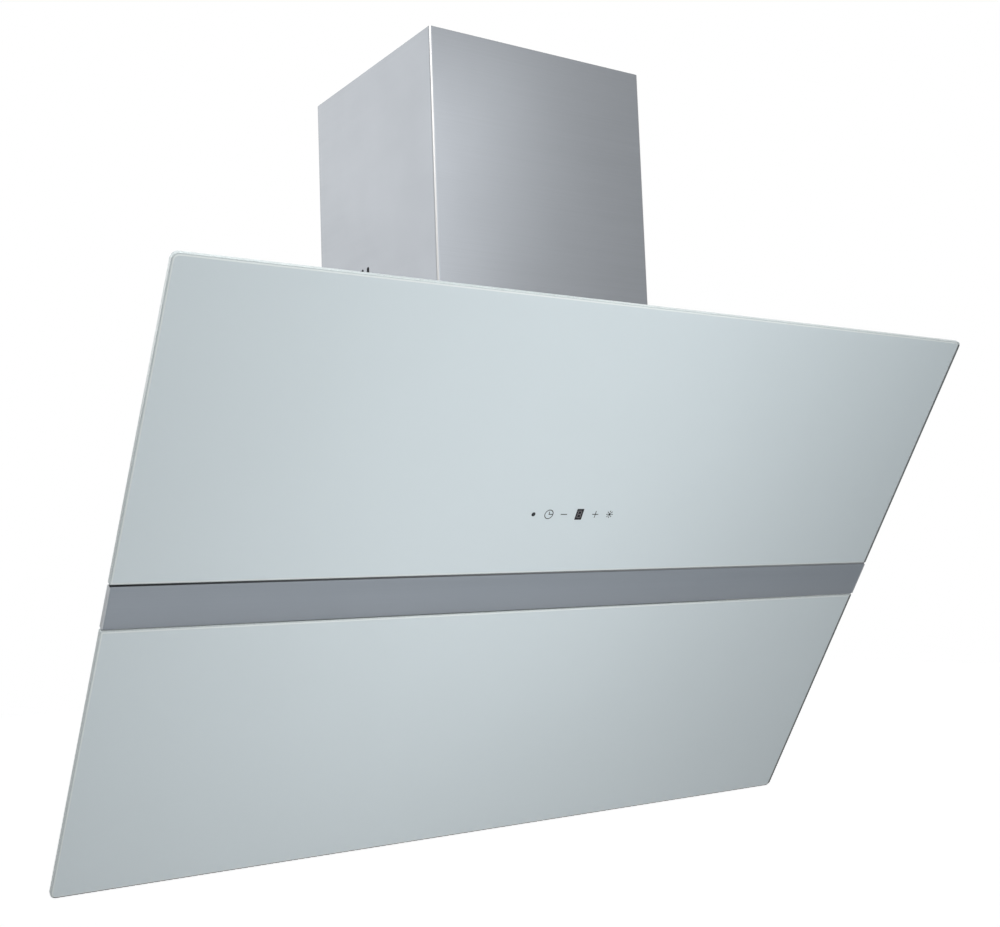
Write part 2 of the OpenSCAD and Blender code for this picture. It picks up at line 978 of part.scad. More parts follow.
module filter_latch() {
  color(plastic_colour)
    on_slope()
      translate([filter_mid_x, 0, 0]) {
        span_box([-latch_w / 2, latch_start, latch_front], [latch_w / 2, latch_end, latch_back]);
        span_box([-latch_tongue_w / 2, latch_start, latch_front],
                 [latch_tongue_w / 2, tongue_end, latch_back]);
        span_box([-latch_grip_w / 2, latch_start, latch_front - latch_grip_h],
                 [latch_grip_w / 2, latch_start + latch_grip_t, latch_back]);
      }
}

module filter_latch_right() {
  filter_latch();
}

module filter_latch_left() {
  mirror([1, 0, 0])
    filter_latch();
}

// Bridges on the cassettes that guide the ends of the latch plates
module latch_guides() {
  outer_x = latch_w / 2 + rest_gap + guide_t;
  color(alu_colour)
    on_slope()
      both_sides()
        for (side = [-1, 1])
          translate([filter_mid_x, 0, 0])
            mirror([side < 0 ? 1 : 0, 0, 0])
              difference() {
                span_box([outer_x - guide_t - guide_w, latch_start - latch_travel,
                          latch_front - rest_gap - guide_t],
                         [outer_x, latch_end, filter_front]);
                span_box([0, latch_start - latch_travel - over, latch_front - rest_gap],
                         [outer_x - guide_t, latch_end + over, filter_front + over]);
              }
}

// Top clips that hold the cassettes' upper edges, and keepers for the latch tongues
clip_x_shares = [0.2, 0.7];
keeper_s = tongue_end + 2 * rest_gap;

module filter_clips() {
  clip_s = filter_start - rest_gap;
  color(steel_colour)
    on_slope()
      both_sides() {
        for (share = clip_x_shares)
          slope_across(filter_mid_gap + share * filter_w - clip_w / 2, clip_w) {
            span_rect([clip_s - clip_foot_l, casing_gap - clip_t], [clip_s, casing_gap]);
            span_rect([clip_s - clip_t, filter_front - rest_gap - clip_t], [clip_s, casing_gap]);
            span_rect([clip_s - clip_t, filter_front - rest_gap - clip_t],
                      [clip_s + clip_lip_l, filter_front - rest_gap]);
          }
        slope_across(filter_mid_x - clip_w / 2, clip_w) {
          span_rect([keeper_s, casing_gap - clip_t], [keeper_s + clip_foot_l, casing_gap]);
          span_rect([keeper_s, latch_front - rest_gap - clip_t], [keeper_s + clip_t, casing_gap]);
          span_rect([keeper_s - clip_lip_l, latch_front - rest_gap - clip_t],
                    [keeper_s + clip_t, latch_front - rest_gap]);
        }
      }
}

// Blower: the scroll's outline is four-centred, drawn in the plane of Y and Z about the impeller's axis

blower_y = -(sheet_t + scroll_back_gap + scroll_wall + scroll_r + scroll_step / 2);
blower_z = casing_top_z - sheet_t - scroll_rise;
scroll_in_w = impeller_w + 2 * scroll_side_gap;
scroll_out_x = scroll_in_w / 2 + scroll_wall;
outlet_front = -(scroll_step / 2 + scroll_r + 2 * scroll_step);
collar_in_r = collar_r - collar_wall;
outlet_w = 2 * collar_in_r + 2 * scroll_wall;
tongue_z = scroll_r - scroll_step / 2;
collar_y = blower_y + outlet_front + outlet_w / 2;

module quadrant(centre, r, turn) {
  translate(centre)
    intersection() {
      circle(r);
      rotate(turn)
        square([2 * r, 2 * r]);
    }
}

// The scroll's outline, grown outwards by g and cut off at the height top
module scroll_outline(g, top) {
  half = scroll_step / 2;
  quadrant([half, -half], scroll_r + g, 0);
  quadrant([-half, -half], scroll_r + scroll_step + g, -90);
  quadrant([-half, half], scroll_r + 2 * scroll_step + g, 180);
  polygon([
    [-half, -half],
    [half, -half],
    [half + g, tongue_z],
    [outlet_front + outlet_w + g, scroll_rise],
    [outlet_front + outlet_w + g, top],
    [outlet_front - g, top],
    [outlet_front - g, half],
    [-half, half]]);
}

module at_blower() {
  translate([0, blower_y, blower_z])
    children();
}

inlet_drop = 16;
inlet_r = impeller_r - inlet_drop;
inlet_lip_r = 6;
seam_w = 3.5;
seam_t = 3;
scroll_flange_t = 3;

// One half of the housing: side wall with its inlet ring, outer wall, seam flange and top flange
module scroll_half() {
  color(plastic_colour)
    difference() {
      at_blower()
        difference() {
          union() {
            across(0, scroll_out_x)
              scroll_outline(scroll_wall, scroll_rise);
            across(0, seam_t)
              scroll_outline(scroll_wall + seam_w, scroll_rise);
            span_box([0, outlet_front - scroll_flange_w, scroll_rise - scroll_flange_t],
                     [scroll_out_x + scroll_flange_w, outlet_front + outlet_w + scroll_flange_w,
                      scroll_rise]);
            rotate([0, 90, 0])
              cylinder(r = inlet_r + inlet_lip_r, h = scroll_out_x + inlet_lip_r);
          }
          across(-over, scroll_in_w / 2 + over)
            scroll_outline(0, scroll_rise + over);
          // bell mouth of the inlet
          rotate([0, 90, 0])
            cylinder(r = inlet_r, h = 2 * scroll_out_x);
          translate([scroll_out_x + inlet_lip_r, 0, 0])
            rotate([0, 90, 0])
              rotate_extrude()
                difference() {
                  span_rect([0, -inlet_lip_r + scroll_wall], [inlet_r + inlet_lip_r - scroll_wall,
                                                              over]);
                  translate([inlet_r + inlet_lip_r - scroll_wall, -inlet_lip_r + scroll_wall])
                    circle(inlet_lip_r - scroll_wall);
                }
        }
      at_scroll_screws()
        screw_hole(2 * hole_reach);
      both_sides()
        at_bracket_screws()
          screw_hole(2 * hole_reach);
    }
}

module scroll_half_right() {
  scroll_half();
}

module scroll_half_left() {
  mirror([1, 0, 0])
    scroll_half();
}

scroll_screw_y_share = 0.33;

module at_scroll_screws() {
  both_sides()
    for (side = [-1, 1])
      translate([scroll_out_x + scroll_flange_w / 2, collar_y + side * scroll_screw_y_share * outlet_w,
                 casing_top_z])
        children();
}

// Impeller: forward-curved blades between two end rings and a middle disc

blade_depth = 12;
ring_edge = 1;
blade_out_r = impeller_r - ring_edge;
blade_in_r = blade_out_r - blade_depth;
ring_in_r = blade_in_r - ring_edge;
ring_t = 3;
disc_t = 2.4;
hub_r = 12;
hub_l = 24;

module blade() {
  intersection() {
    flat_ring(blade_out_r, blade_in_r);
    translate([blade_in_r, blade_curve_r])
      intersection() {
        flat_ring(blade_curve_r + blade_t / 2, blade_curve_r - blade_t / 2);
        rotate(-90)
          square([2 * blade_curve_r, 2 * blade_curve_r]);
      }
  }
}

module impeller() {
  color(dark_colour)
    at_blower()
      rotate([0, 90, 0])
        difference() {
          union() {
            translate([0, 0, -impeller_w / 2])
              linear_extrude(impeller_w)
                for (i = [0 : blade_n - 1])
                  rotate(i * 360 / blade_n)
                    blade();
            for (z = [-impeller_w / 2, impeller_w / 2 - ring_t])
              translate([0, 0, z])
                linear_extrude(ring_t)
                  flat_ring(impeller_r, ring_in_r);
            translate([0, 0, -disc_t / 2])
              cylinder(r = impeller_r, h = disc_t);
            translate([0, 0, -disc_t])
              cylinder(r = hub_r, h = hub_l);
          }
          translate([0, 0, -impeller_w])
            cylinder(r = shaft_r + held_fit, h = 2 * impeller_w);
        }
}

// Motor: its can lies inside the left half of the impeller, and a three-armed bracket carries it

hub_clear = 9;
motor_inner_x = -(disc_t + hub_clear);
motor_outer_x = motor_inner_x - motor_l;
cover_t = 2.5;
boss_wall = 2;
rotor_l = 34;
stator_teeth = 8;
tooth_w = 7;
stator_back = 6;
vent_hole_r = 4;
vent_hole_n = 8;
vent_ring_share = 0.66;

// Children drawn with z along the motor's axis, from its outer end towards the impeller
module at_motor() {
  translate([motor_outer_x, blower_y, blower_z])
    rotate([0, 90, 0])
      children();
}

module motor_can() {
  color(steel_colour)
    at_motor()
      difference() {
        cylinder(r = motor_r, h = motor_l);
        difference() {
          translate([0, 0, -over])
            cylinder(r = motor_r - motor_wall, h = motor_l - motor_wall + over);
          translate([0, 0, motor_l - motor_wall - bearing_w])
            cylinder(r = bearing_r + boss_wall, h = bearing_w + motor_wall);
        }
        translate([0, 0, motor_l - motor_wall - bearing_w - over])
          cylinder(r = bearing_r + held_fit, h = bearing_w + over);
        cylinder(r = shaft_r + boss_wall, h = motor_l + over);
        for (i = [0 : vent_hole_n - 1])
          rotate(i * 360 / vent_hole_n)
            translate([vent_ring_share * motor_r, 0, motor_l - motor_wall - over])
              cylinder(r = vent_hole_r, h = motor_wall + 2 * over);
      }
}

module motor_end_cover() {
  color(steel_colour)
    at_motor()
      difference() {
        union() {
          translate([0, 0, -cover_t])
            cylinder(r = motor_r, h = cover_t);
          translate([0, 0, -cover_t])
            cylinder(r = bearing_r + boss_wall, h = cover_t + bearing_w);
        }
        cylinder(r = bearing_r + held_fit, h = bearing_w + over);
        translate([0, 0, -cover_t - over])
          cylinder(r = shaft_r + boss_wall, h = cover_t + 2 * over);
      }
}

rotor_start = (motor_l - rotor_l) / 2;

module motor_stator() {
  color(zinc_colour)
    at_motor()
      translate([0, 0, rotor_start])
        linear_extrude(rotor_l)
          difference() {
            union() {
              flat_ring(motor_r - motor_wall - held_fit, motor_r - motor_wall - stator_back);
              for (i = [0 : stator_teeth - 1])
                rotate(i * 360 / stator_teeth)
                  span_rect([rotor_r, -tooth_w / 2],
                            [motor_r - motor_wall - stator_back / 2, tooth_w / 2]);
            }
            circle(rotor_r + rotor_gap);
          }
}

module motor_rotor() {
  color(zinc_colour)
    at_motor()
      translate([0, 0, rotor_start])
        linear_extrude(rotor_l)
          flat_ring(rotor_r, shaft_r + held_fit);
}

shaft_tail = 6;

module motor_shaft() {
  color(steel_colour)
    at_motor()
      translate([0, 0, -cover_t - shaft_tail])
        cylinder(r = shaft_r, h = cover_t + shaft_tail - motor_outer_x - disc_t + hub_l);
}

module motor_bearings() {
  color(steel_colour)
    at_motor()
      for (z = [0, motor_l - motor_wall - bearing_w])
        translate([0, 0, z])
          linear_extrude(bearing_w)
            flat_ring(bearing_r, shaft_r + run_fit);
}

bracket_t = 2;
bracket_arm_w = 14;
bracket_hoop_l = 12;
bracket_x = -(scroll_out_x + inlet_lip_r);
bracket_foot_l = 13;
bracket_screw_in = 7.5;
bracket_reach = inlet_r + inlet_lip_r + bracket_foot_l;
bracket_screw_r = inlet_r + inlet_lip_r + bracket_screw_in;
arm_turns = [90, 210, 330];

// Children placed at the three feet of the motor bracket, with z pointing away from the blower
module at_bracket_screws() {
  at_blower()
    for (turn = arm_turns)
      rotate([turn, 0, 0])
        translate([-scroll_out_x - bracket_t, bracket_screw_r, 0])
          rotate([0, -90, 0])
            children();
}

module motor_bracket() {
  foot_x = -scroll_out_x - bracket_t;
  color(steel_colour)
    difference() {
      union() {
        at_motor()
          translate([0, 0, bracket_x - bracket_t - motor_outer_x])
            linear_extrude(motor_outer_x + bracket_hoop_l - bracket_x + bracket_t)
              flat_ring(motor_r + held_fit + bracket_t, motor_r + held_fit);
        at_blower()
          for (turn = arm_turns)
            rotate([turn, 0, 0]) {
              span_box([bracket_x - bracket_t, motor_r + bracket_t / 2, -bracket_arm_w / 2],
                       [bracket_x, inlet_r + inlet_lip_r + bracket_t + rest_gap,
                        bracket_arm_w / 2]);
              span_box([bracket_x - bracket_t, inlet_r + inlet_lip_r + rest_gap,
                        -bracket_arm_w / 2],
                       [-scroll_out_x, inlet_r + inlet_lip_r + bracket_t + rest_gap,
                        bracket_arm_w / 2]);
              span_box([foot_x, inlet_r + inlet_lip_r + rest_gap, -bracket_arm_w / 2],
                       [-scroll_out_x, bracket_reach, bracket_arm_w / 2]);
            }
      }
      at_bracket_screws()
        screw_hole(hole_reach);
    }
}

// Air outlet: collar, two damper flaps and their spindle

spindle_rise = 16;
spindle_z = casing_top_z + collar_flange_t + spindle_rise;
flap_side_gap = 1.5;
flap_r = collar_in_r - flap_side_gap;
flap_sleeve_r = 4;
flap_root_gap = 0.6;
flap_root = flap_sleeve_r + flap_root_gap;
flap_stop_w = 4;
flap_stop_t = 2;
spindle_boss_l = 7;
spindle_boss_r = 4.5;
sleeve_l = 28;
sleeve_n = 4;
sleeve_gap = 0.3;
collar_screw_ring = collar_r + collar_flange_w / 2;
collar_screw_n = 4;

module at_collar() {
  translate([0, collar_y, casing_top_z])
    children();
}

module at_collar_screws() {
  at_collar()
    for (i = [0 : collar_screw_n - 1])
      rotate((i + 1 / 2) * 360 / collar_screw_n)
        translate([collar_screw_ring, 0, collar_flange_t])
          children();
}

module duct_collar() {
  stop_z = spindle_rise + collar_flange_t - flap_t / 2 - rest_gap;
  color(plastic_colour)
    difference() {
      at_collar() {
        cylinder(r = collar_r + collar_flange_w, h = collar_flange_t);
        cylinder(r = collar_r, h = collar_flange_t + collar_h);
      }
      difference() {
        at_collar()
          translate([0, 0, -over])
            cylinder(r = collar_in_r, h = collar_flange_t + collar_h + 2 * over);
        // ledge that the closed flaps rest on
        at_collar()
          translate([0, 0, stop_z - flap_stop_t])
            linear_extrude(flap_stop_t)
              flat_ring(collar_in_r + over, collar_in_r - flap_stop_w);
        // bosses that hold the spindle
        translate([0, collar_y, spindle_z])
          both_sides()
            rotate([0, 90, 0])
              translate([0, 0, collar_in_r - spindle_boss_l])
                cylinder(r = spindle_boss_r, h = spindle_boss_l + over);
      }
      translate([0, collar_y, spindle_z])
        rotate([0, 90, 0])
          cylinder(r = spindle_r + held_fit, h = 2 * (collar_in_r + over), center = true);
      at_collar_screws()
        screw_hole(2 * hole_reach);
    }
}

module damper_spindle() {
  color(steel_colour)
    translate([0, collar_y, spindle_z])
      rotate([0, 90, 0])
        cylinder(r = spindle_r, h = 2 * (collar_in_r - rest_gap), center = true);
}

// A flap drawn about its axis, reaching to +y; first says which sleeves are its own
module damper_flap(first) {
  span = sleeve_n * sleeve_l;
  difference() {
    union() {
      translate([0, 0, -flap_t / 2])
        linear_extrude(flap_t)
          difference() {
            circle(flap_r);
            span_rect([-2 * flap_r, -2 * flap_r], [2 * flap_r, flap_root]);
            for (side = [-1, 1])
              translate([side * collar_in_r, 0])
                span_rect([-spindle_boss_l - rest_gap, -flap_r],
                          [spindle_boss_l + rest_gap, spindle_boss_r + 2 * rest_gap]);
          }
      for (i = [first : 2 : sleeve_n - 1]) {
        low_x = -span / 2 + i * sleeve_l + sleeve_gap;
        high_x = low_x + sleeve_l - 2 * sleeve_gap;
        span_box([low_x, 0, -flap_t / 2], [high_x, flap_root + flap_t, flap_t / 2]);
        translate([low_x, 0, 0])
          rotate([0, 90, 0])
            cylinder(r = flap_sleeve_r, h = high_x - low_x);
      }
    }
    rotate([0, 90, 0])
      cylinder(r = spindle_r + run_fit, h = 2 * span, center = true);
  }
}

module damper_flap_rear() {
  color(alu_colour)
    translate([0, collar_y, spindle_z])
      damper_flap(0);
}

module damper_flap_front() {
  color(alu_colour)
    translate([0, collar_y, spindle_z])
      mirror([0, 1, 0])
        damper_flap(1);
}

// Electrics on the back panel

box_w = 110;
box_side_gap = 14;
box_low_x = casing_w / 2 - flange_w - box_side_gap - box_w;
box_low_z = 20;
box_h = 90;
box_d = 42;
box_wall = 2;
box_lid_t = 2;
box_r = 5;
capacitor_r = 15;
capacitor_l = 62;
capacitor_inset = 90;
capacitor_x = capacitor_inset - casing_w / 2;
capacitor_z = 40;
terminal_w = 40;
terminal_h = 18;
terminal_d = 16;
terminal_n = 4;
terminal_hole_r = 2;
terminal_gap = 8;
gland_r = 8;
gland_x = 105;
gland_y = -30;
gland_head_r = 12;
gland_head_h = 8;
gland_nut_h = 5;
gland_bore_r = 4;
gland_neck_h = 6;
gland_cap_r = 10;

module control_box() {
  color(dark_colour)
    translate([0, -sheet_t, 0])
      rotate([90, 0, 0])
        difference() {
          linear_extrude(box_d)
            round_rect([box_low_x, box_low_z], [box_low_x + box_w, box_low_z + box_h], box_r);
          translate([0, 0, box_wall])
            linear_extrude(box_d)
              round_rect([box_low_x + box_wall, box_low_z + box_wall],
                         [box_low_x + box_w - box_wall, box_low_z + box_h - box_wall],
                         box_r - box_wall);
        }
}

module control_box_lid() {
  color(plastic_colour)
    translate([0, -sheet_t - box_d, 0])
      rotate([90, 0, 0])
        linear_extrude(box_lid_t)
          round_rect([box_low_x, box_low_z], [box_low_x + box_w, box_low_z + box_h], box_r);
}

module terminal_block() {
  low_z = box_low_z + box_h + terminal_gap;
  color(opal_colour)
    difference() {
      span_box([box_low_x, -sheet_t - terminal_d, low_z],
               [box_low_x + terminal_w, -sheet_t, low_z + terminal_h]);
      for (i = [0 : terminal_n - 1])
        translate([box_low_x + (i + 1 / 2) * terminal_w / terminal_n, -sheet_t - terminal_d / 2,
                   low_z - over])
          cylinder(r = terminal_hole_r, h = terminal_h + 2 * over);
    }
}

module motor_capacitor() {
  color(alu_colour)
    translate([capacitor_x, -sheet_t - capacitor_r, capacitor_z]) {
      cylinder(r = capacitor_r, h = capacitor_l);
      // foot that clips to the back panel
      span_box([-capacitor_r / 2, 0, 0], [capacitor_r / 2, capacitor_r, capacitor_l / 2]);
    }
}

module cable_gland() {
  color(dark_colour)
    translate([gland_x, gland_y, casing_top_z])
      difference() {
        union() {
          translate([0, 0, -sheet_t - gland_nut_h])
            cylinder(r = gland_r, h = sheet_t + gland_nut_h + gland_head_h);
          translate([0, 0, -sheet_t - gland_nut_h])
            cylinder(r = gland_head_r, h = gland_nut_h, $fn = 6);
          cylinder(r = gland_head_r, h = gland_head_h / 2, $fn = 6);
          cylinder(r1 = gland_cap_r, r2 = gland_r, h = gland_head_h + gland_neck_h);
        }
        translate([0, 0, -sheet_t - gland_nut_h - over])
          cylinder(r = gland_bore_r, h = sheet_t + gland_nut_h + gland_head_h + gland_neck_h
                                         + 2 * over);
      }
}

// Touch controls behind the upper pane

touch_wall = 1.6;
touch_r = 4;
touch_board_t = 1.6;
touch_board_d = 2;
display_w = 12;
display_l = 16;

module touch_housing() {
  color(dark_colour)
    on_slope()
      translate([0, keys_s, pane_t])
        difference() {
          linear_extrude(touch_h)
            round_rect([-touch_w / 2, -touch_l / 2], [touch_w / 2, touch_l / 2], touch_r);
          translate([0, 0, -over])
            linear_extrude(touch_h - touch_wall + over)
              round_rect([-touch_w / 2 + touch_wall, -touch_l / 2 + touch_wall],
                         [touch_w / 2 - touch_wall, touch_l / 2 - touch_wall],
                         touch_r - touch_wall);
        }
}

module touch_board() {
  color(board_colour)
    on_slope()
      translate([0, keys_s, pane_t + touch_board_d])
        linear_extrude(touch_board_t)
          round_rect([-touch_w / 2 + touch_wall + rest_gap, -touch_l / 2 + touch_wall + rest_gap],
                     [touch_w / 2 - touch_wall - rest_gap, touch_l / 2 - touch_wall - rest_gap],
                     touch_r - touch_wall - rest_gap);
}

module display_module() {
  color(dark_colour)
    on_slope()
      span_box([-display_w / 2, keys_s - display_l / 2, pane_t],
               [display_w / 2, keys_s + display_l / 2, pane_t + touch_board_d]);
}

// Lamp bar in the casing's bottom

lamp_lip = 1.5;
lamp_wall = 1.2;
lamp_lip_t = 1;
diffuser_t = 2;
led_board_t = 1.6;
led_board_w = 10;
led_l = 3;
led_h = 1;
led_n = 12;
lamp_y = casing_bottom_y / 2;

module lamp_housing() {
  color(alu_colour)
    across(-lamp_l / 2, lamp_l)
      translate([lamp_y, casing_bottom_z])
        difference() {
          union() {
            span_rect([-lamp_w / 2, 0], [lamp_w / 2, lamp_h]);
            span_rect([-lamp_w / 2 - lamp_lip, -lamp_lip_t], [lamp_w / 2 + lamp_lip, 0]);
          }
          span_rect([-lamp_w / 2 + lamp_wall, -lamp_lip_t - over],
                    [lamp_w / 2 - lamp_wall, lamp_h - lamp_wall]);
        }
}

module lamp_board() {
  top_z = casing_bottom_z + lamp_h - lamp_wall;
  color(opal_colour) {
    span_box([-lamp_l / 2 + lamp_wall, lamp_y - led_board_w / 2, top_z - led_board_t],
             [lamp_l / 2 - lamp_wall, lamp_y + led_board_w / 2, top_z]);
    for (i = [0 : led_n - 1])
      translate([((i + 1 / 2) / led_n - 1 / 2) * lamp_l, lamp_y, top_z - led_board_t])
        span_box([-led_l / 2, -led_l / 2, -led_h], [led_l / 2, led_l / 2, 0]);
  }
}

module lamp_diffuser() {
  color(opal_colour)
    span_box([-lamp_l / 2, lamp_y - lamp_w / 2 + lamp_wall, casing_bottom_z - lamp_lip_t],
             [lamp_l / 2, lamp_y + lamp_w / 2 - lamp_wall,
              casing_bottom_z - lamp_lip_t + diffuser_t]);
}

// Chimney: two nested covers of folded sheet, open towards the wall

cover_gap = 0.4;
bracket_strip_t = 1.2;
upper_lip_w = 18;
cover_seat_drop = 4.5;
cover_top_drop = 2;
seat_tab_w = 10;
seat_tab_t = 1;

// Outline of a cover: w wide, from the front y to the rear y, with lips at the rear
module cover_outline(w, front, rear, lip) {
  r = chimney_bend_r;
  difference() {
    round_rect([-w / 2, front], [w / 2, rear], r);
    round_rect([-w / 2 + chimney_t, front + chimney_t],
               [w / 2 - chimney_t, rear - chimney_t], r - chimney_t);
    span_rect([-w / 2 + lip, rear - chimney_t - over], [w / 2 - lip, rear + over]);
  }
}

module vent_slot() {
  span_rect([-vent_w / 2, -vent_l + vent_w / 2], [vent_w / 2, -vent_w / 2]);
  for (y = [-vent_w / 2, -vent_l + vent_w / 2])
    translate([0, y])
      circle(vent_w / 2);
}

upper_cover_z = glass_top_z + vent_top + cover_seat_drop;

module chimney_lower_cover() {
  color(steel_colour)
    difference() {
      union() {
        translate([0, 0, casing_top_z])
          linear_extrude(chimney_top_z - casing_top_z)
            cover_outline(chimney_w, -chimney_d, 0, chimney_lip_w);
        // tabs that the upper cover rests on while it is down
        both_sides()
          translate([chimney_w / 2 - chimney_t - seat_tab_w / 2, -chimney_d / 2,
                     upper_cover_z - rest_gap - seat_tab_t])
            span_box([0, 0, 0], [seat_tab_w / 2 + chimney_t / 2, seat_tab_w, seat_tab_t]);
      }
      for (i = [0 : vent_n - 1])
        translate([0, -chimney_d + vent_first + i * vent_pitch, glass_top_z + vent_top])
          rotate([90, 0, 90])
            linear_extrude(2 * chimney_w, center = true)
              vent_slot();
      at_foot_screws()
        screw_hole(2 * chimney_t);
    }
}

upper_cover_w = chimney_w - 2 * chimney_t - 2 * cover_gap;
upper_cover_front = -chimney_d + chimney_t + cover_gap;

module chimney_upper_cover() {
  color(steel_colour)
    translate([0, 0, upper_cover_z])
      linear_extrude(chimney_top_z - cover_top_drop - upper_cover_z)
        cover_outline(upper_cover_w, upper_cover_front, -bracket_strip_t, upper_lip_w);
}

strip_h = 30;
strip_side_gap = 0.4;
strip_hole_r = 3;
strip_hole_x = 150;
strip_w = chimney_w - 2 * chimney_lip_w - 2 * strip_side_gap;
strip_top_z = chimney_top_z - cover_top_drop;

// Strip that ties the upper cover's lips together and is screwed to the wall near the ceiling
module ceiling_bracket() {
  color(zinc_colour)
    difference() {
      span_box([-strip_w / 2, -bracket_strip_t, strip_top_z - strip_h],
               [strip_w / 2, 0, strip_top_z]);
      both_sides()
        translate([strip_hole_x / 2, 0, strip_top_z - strip_h / 2])
          rotate([90, 0, 0])
            cylinder(r = strip_hole_r, h = 4 * bracket_strip_t, center = true);
    }
}

foot_w = 60;
foot_h = 25;
foot_base = 15;
foot_t = 1.2;
foot_screw_share = 0.3;
foot_x = chimney_w / 2 - chimney_t;
foot_y = -chimney_d / 2;

module at_foot_screws() {
  both_sides()
    for (side = [-1, 1])
      translate([chimney_w / 2, foot_y + side * foot_screw_share * foot_w,
                 casing_top_z + foot_h / 2])
        rotate([0, 90, 0])
          children();
}

module chimney_feet() {
  color(zinc_colour)
    difference() {
      both_sides() {
        span_box([foot_x - foot_t, foot_y - foot_w / 2, casing_top_z],
                 [foot_x, foot_y + foot_w / 2, casing_top_z + foot_h]);
        span_box([foot_x - foot_base, foot_y - foot_w / 2, casing_top_z],
                 [foot_x, foot_y + foot_w / 2, casing_top_z + foot_t]);
      }
      at_foot_screws()
        screw_hole(4 * foot_t);
    }
}

// Screws as groups of separate solids

module casing_screws() {
  color(steel_colour) {
    at_top_screws()
      screw(screw_l);
    // these end flush with the wall face
    at_back_screws()
      translate([0, -2 * sheet_t, 0])
        rotate([90, 0, 0])
          screw(2 * sheet_t);
    at_front_screws()
      screw(screw_l);
    at_rail_screws()
      screw(screw_l);
    at_hinge_screws()
      screw(screw_l);
    at_foot_screws()
      screw(screw_l);
  }
}

module blower_screws() {
  color(steel_colour) {
    at_collar_screws()
      screw(screw_l);
    at_scroll_screws()
      screw(screw_l);
    at_bracket_screws()
      screw(screw_l);
  }
}

upper_glass();
lower_glass();
centre_band();
upper_glass_frame();
door_frame();
panel_rail_left();
panel_rail_right();
casing_back_panel();
casing_side_left();
casing_side_right();
casing_top_plate();
casing_bottom_plate();
casing_front_plate();
hinge_fixed_left();
hinge_fixed_right();
hinge_moving_left();
hinge_moving_right();
hinge_pins();
catch_housings();
catch_magnets();
strike_plates();
filter_frame_left();
filter_frame_right();
filter_mesh_left();
filter_mesh_right();
filter_latch_left();
filter_latch_right();
latch_guides();
filter_clips();
scroll_half_left();
scroll_half_right();
impeller();
motor_can();
motor_end_cover();
motor_stator();
motor_rotor();
motor_shaft();
motor_bearings();
motor_bracket();
motor_capacitor();
duct_collar();
damper_flap_front();
damper_flap_rear();
damper_spindle();
control_box();
control_box_lid();
terminal_block();
cable_gland();
touch_housing();
touch_board();
display_module();
lamp_housing();
lamp_board();
lamp_diffuser();
chimney_lower_cover();
chimney_upper_cover();
ceiling_bracket();
chimney_feet();
casing_screws();
blower_screws();
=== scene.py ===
"""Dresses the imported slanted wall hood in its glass, metals and plastics, and sets the studio round it.

All sizes are in metres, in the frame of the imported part: +X to the viewer's right, +Y into the wall
and +Z up, with the origin at the centre of the wall bolts.
"""

import json
import logging
import math
from collections.abc import Sequence
from dataclasses import dataclass
from enum import Enum
from functools import cache
from typing import Protocol

import bmesh
import bpy
from mathutils import Matrix, Vector

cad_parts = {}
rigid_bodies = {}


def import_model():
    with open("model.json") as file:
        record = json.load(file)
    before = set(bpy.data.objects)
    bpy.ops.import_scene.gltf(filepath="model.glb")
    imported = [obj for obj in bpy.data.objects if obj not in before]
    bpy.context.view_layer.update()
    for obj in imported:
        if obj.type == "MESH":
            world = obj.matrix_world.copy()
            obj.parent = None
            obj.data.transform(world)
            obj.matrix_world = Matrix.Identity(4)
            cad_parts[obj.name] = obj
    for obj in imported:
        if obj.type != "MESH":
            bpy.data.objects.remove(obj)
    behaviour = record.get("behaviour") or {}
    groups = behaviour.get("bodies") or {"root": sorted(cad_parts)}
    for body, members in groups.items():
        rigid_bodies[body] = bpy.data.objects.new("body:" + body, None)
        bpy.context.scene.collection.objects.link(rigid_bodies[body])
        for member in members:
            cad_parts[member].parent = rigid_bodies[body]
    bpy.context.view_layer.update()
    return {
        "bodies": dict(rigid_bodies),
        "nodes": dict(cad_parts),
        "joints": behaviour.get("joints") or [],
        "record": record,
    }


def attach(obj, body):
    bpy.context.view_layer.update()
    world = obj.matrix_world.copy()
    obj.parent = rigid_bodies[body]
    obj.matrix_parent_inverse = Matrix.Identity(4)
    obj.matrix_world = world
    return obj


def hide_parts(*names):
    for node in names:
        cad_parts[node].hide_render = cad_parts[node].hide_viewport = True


log = logging.getLogger("hood")

Point2 = tuple[float, float]
Point3 = tuple[float, float, float]
Colour = tuple[float, float, float]
Socket = bpy.types.NodeSocket

SIDES = (-1, 1)
FINE_MERGE = 1e-7


# The plane of the panes


@dataclass(frozen=True)
class Slope:
    """The leaning frame of the panes: x across, s down the slope and d behind the front of the glass."""

    tilt: float = math.radians(57.0)
    top_y: float = -0.401
    top_z: float = 0.240

    def matrix(self) -> Matrix:
        """Turns a place on the slope into one in the part's frame."""
        c, s = math.cos(self.tilt), math.sin(self.tilt)
        return Matrix(((1, 0, 0, 0), (0, c, s, self.top_y), (0, -s, c, self.top_z), (0, 0, 0, 1)))

    def point(self, x: float, s: float, d: float) -> Vector:
        """Gives the place of a point on the slope in the part's frame."""
        return self.matrix() @ Vector((x, s, d))


SLOPE = Slope()


# Node trees


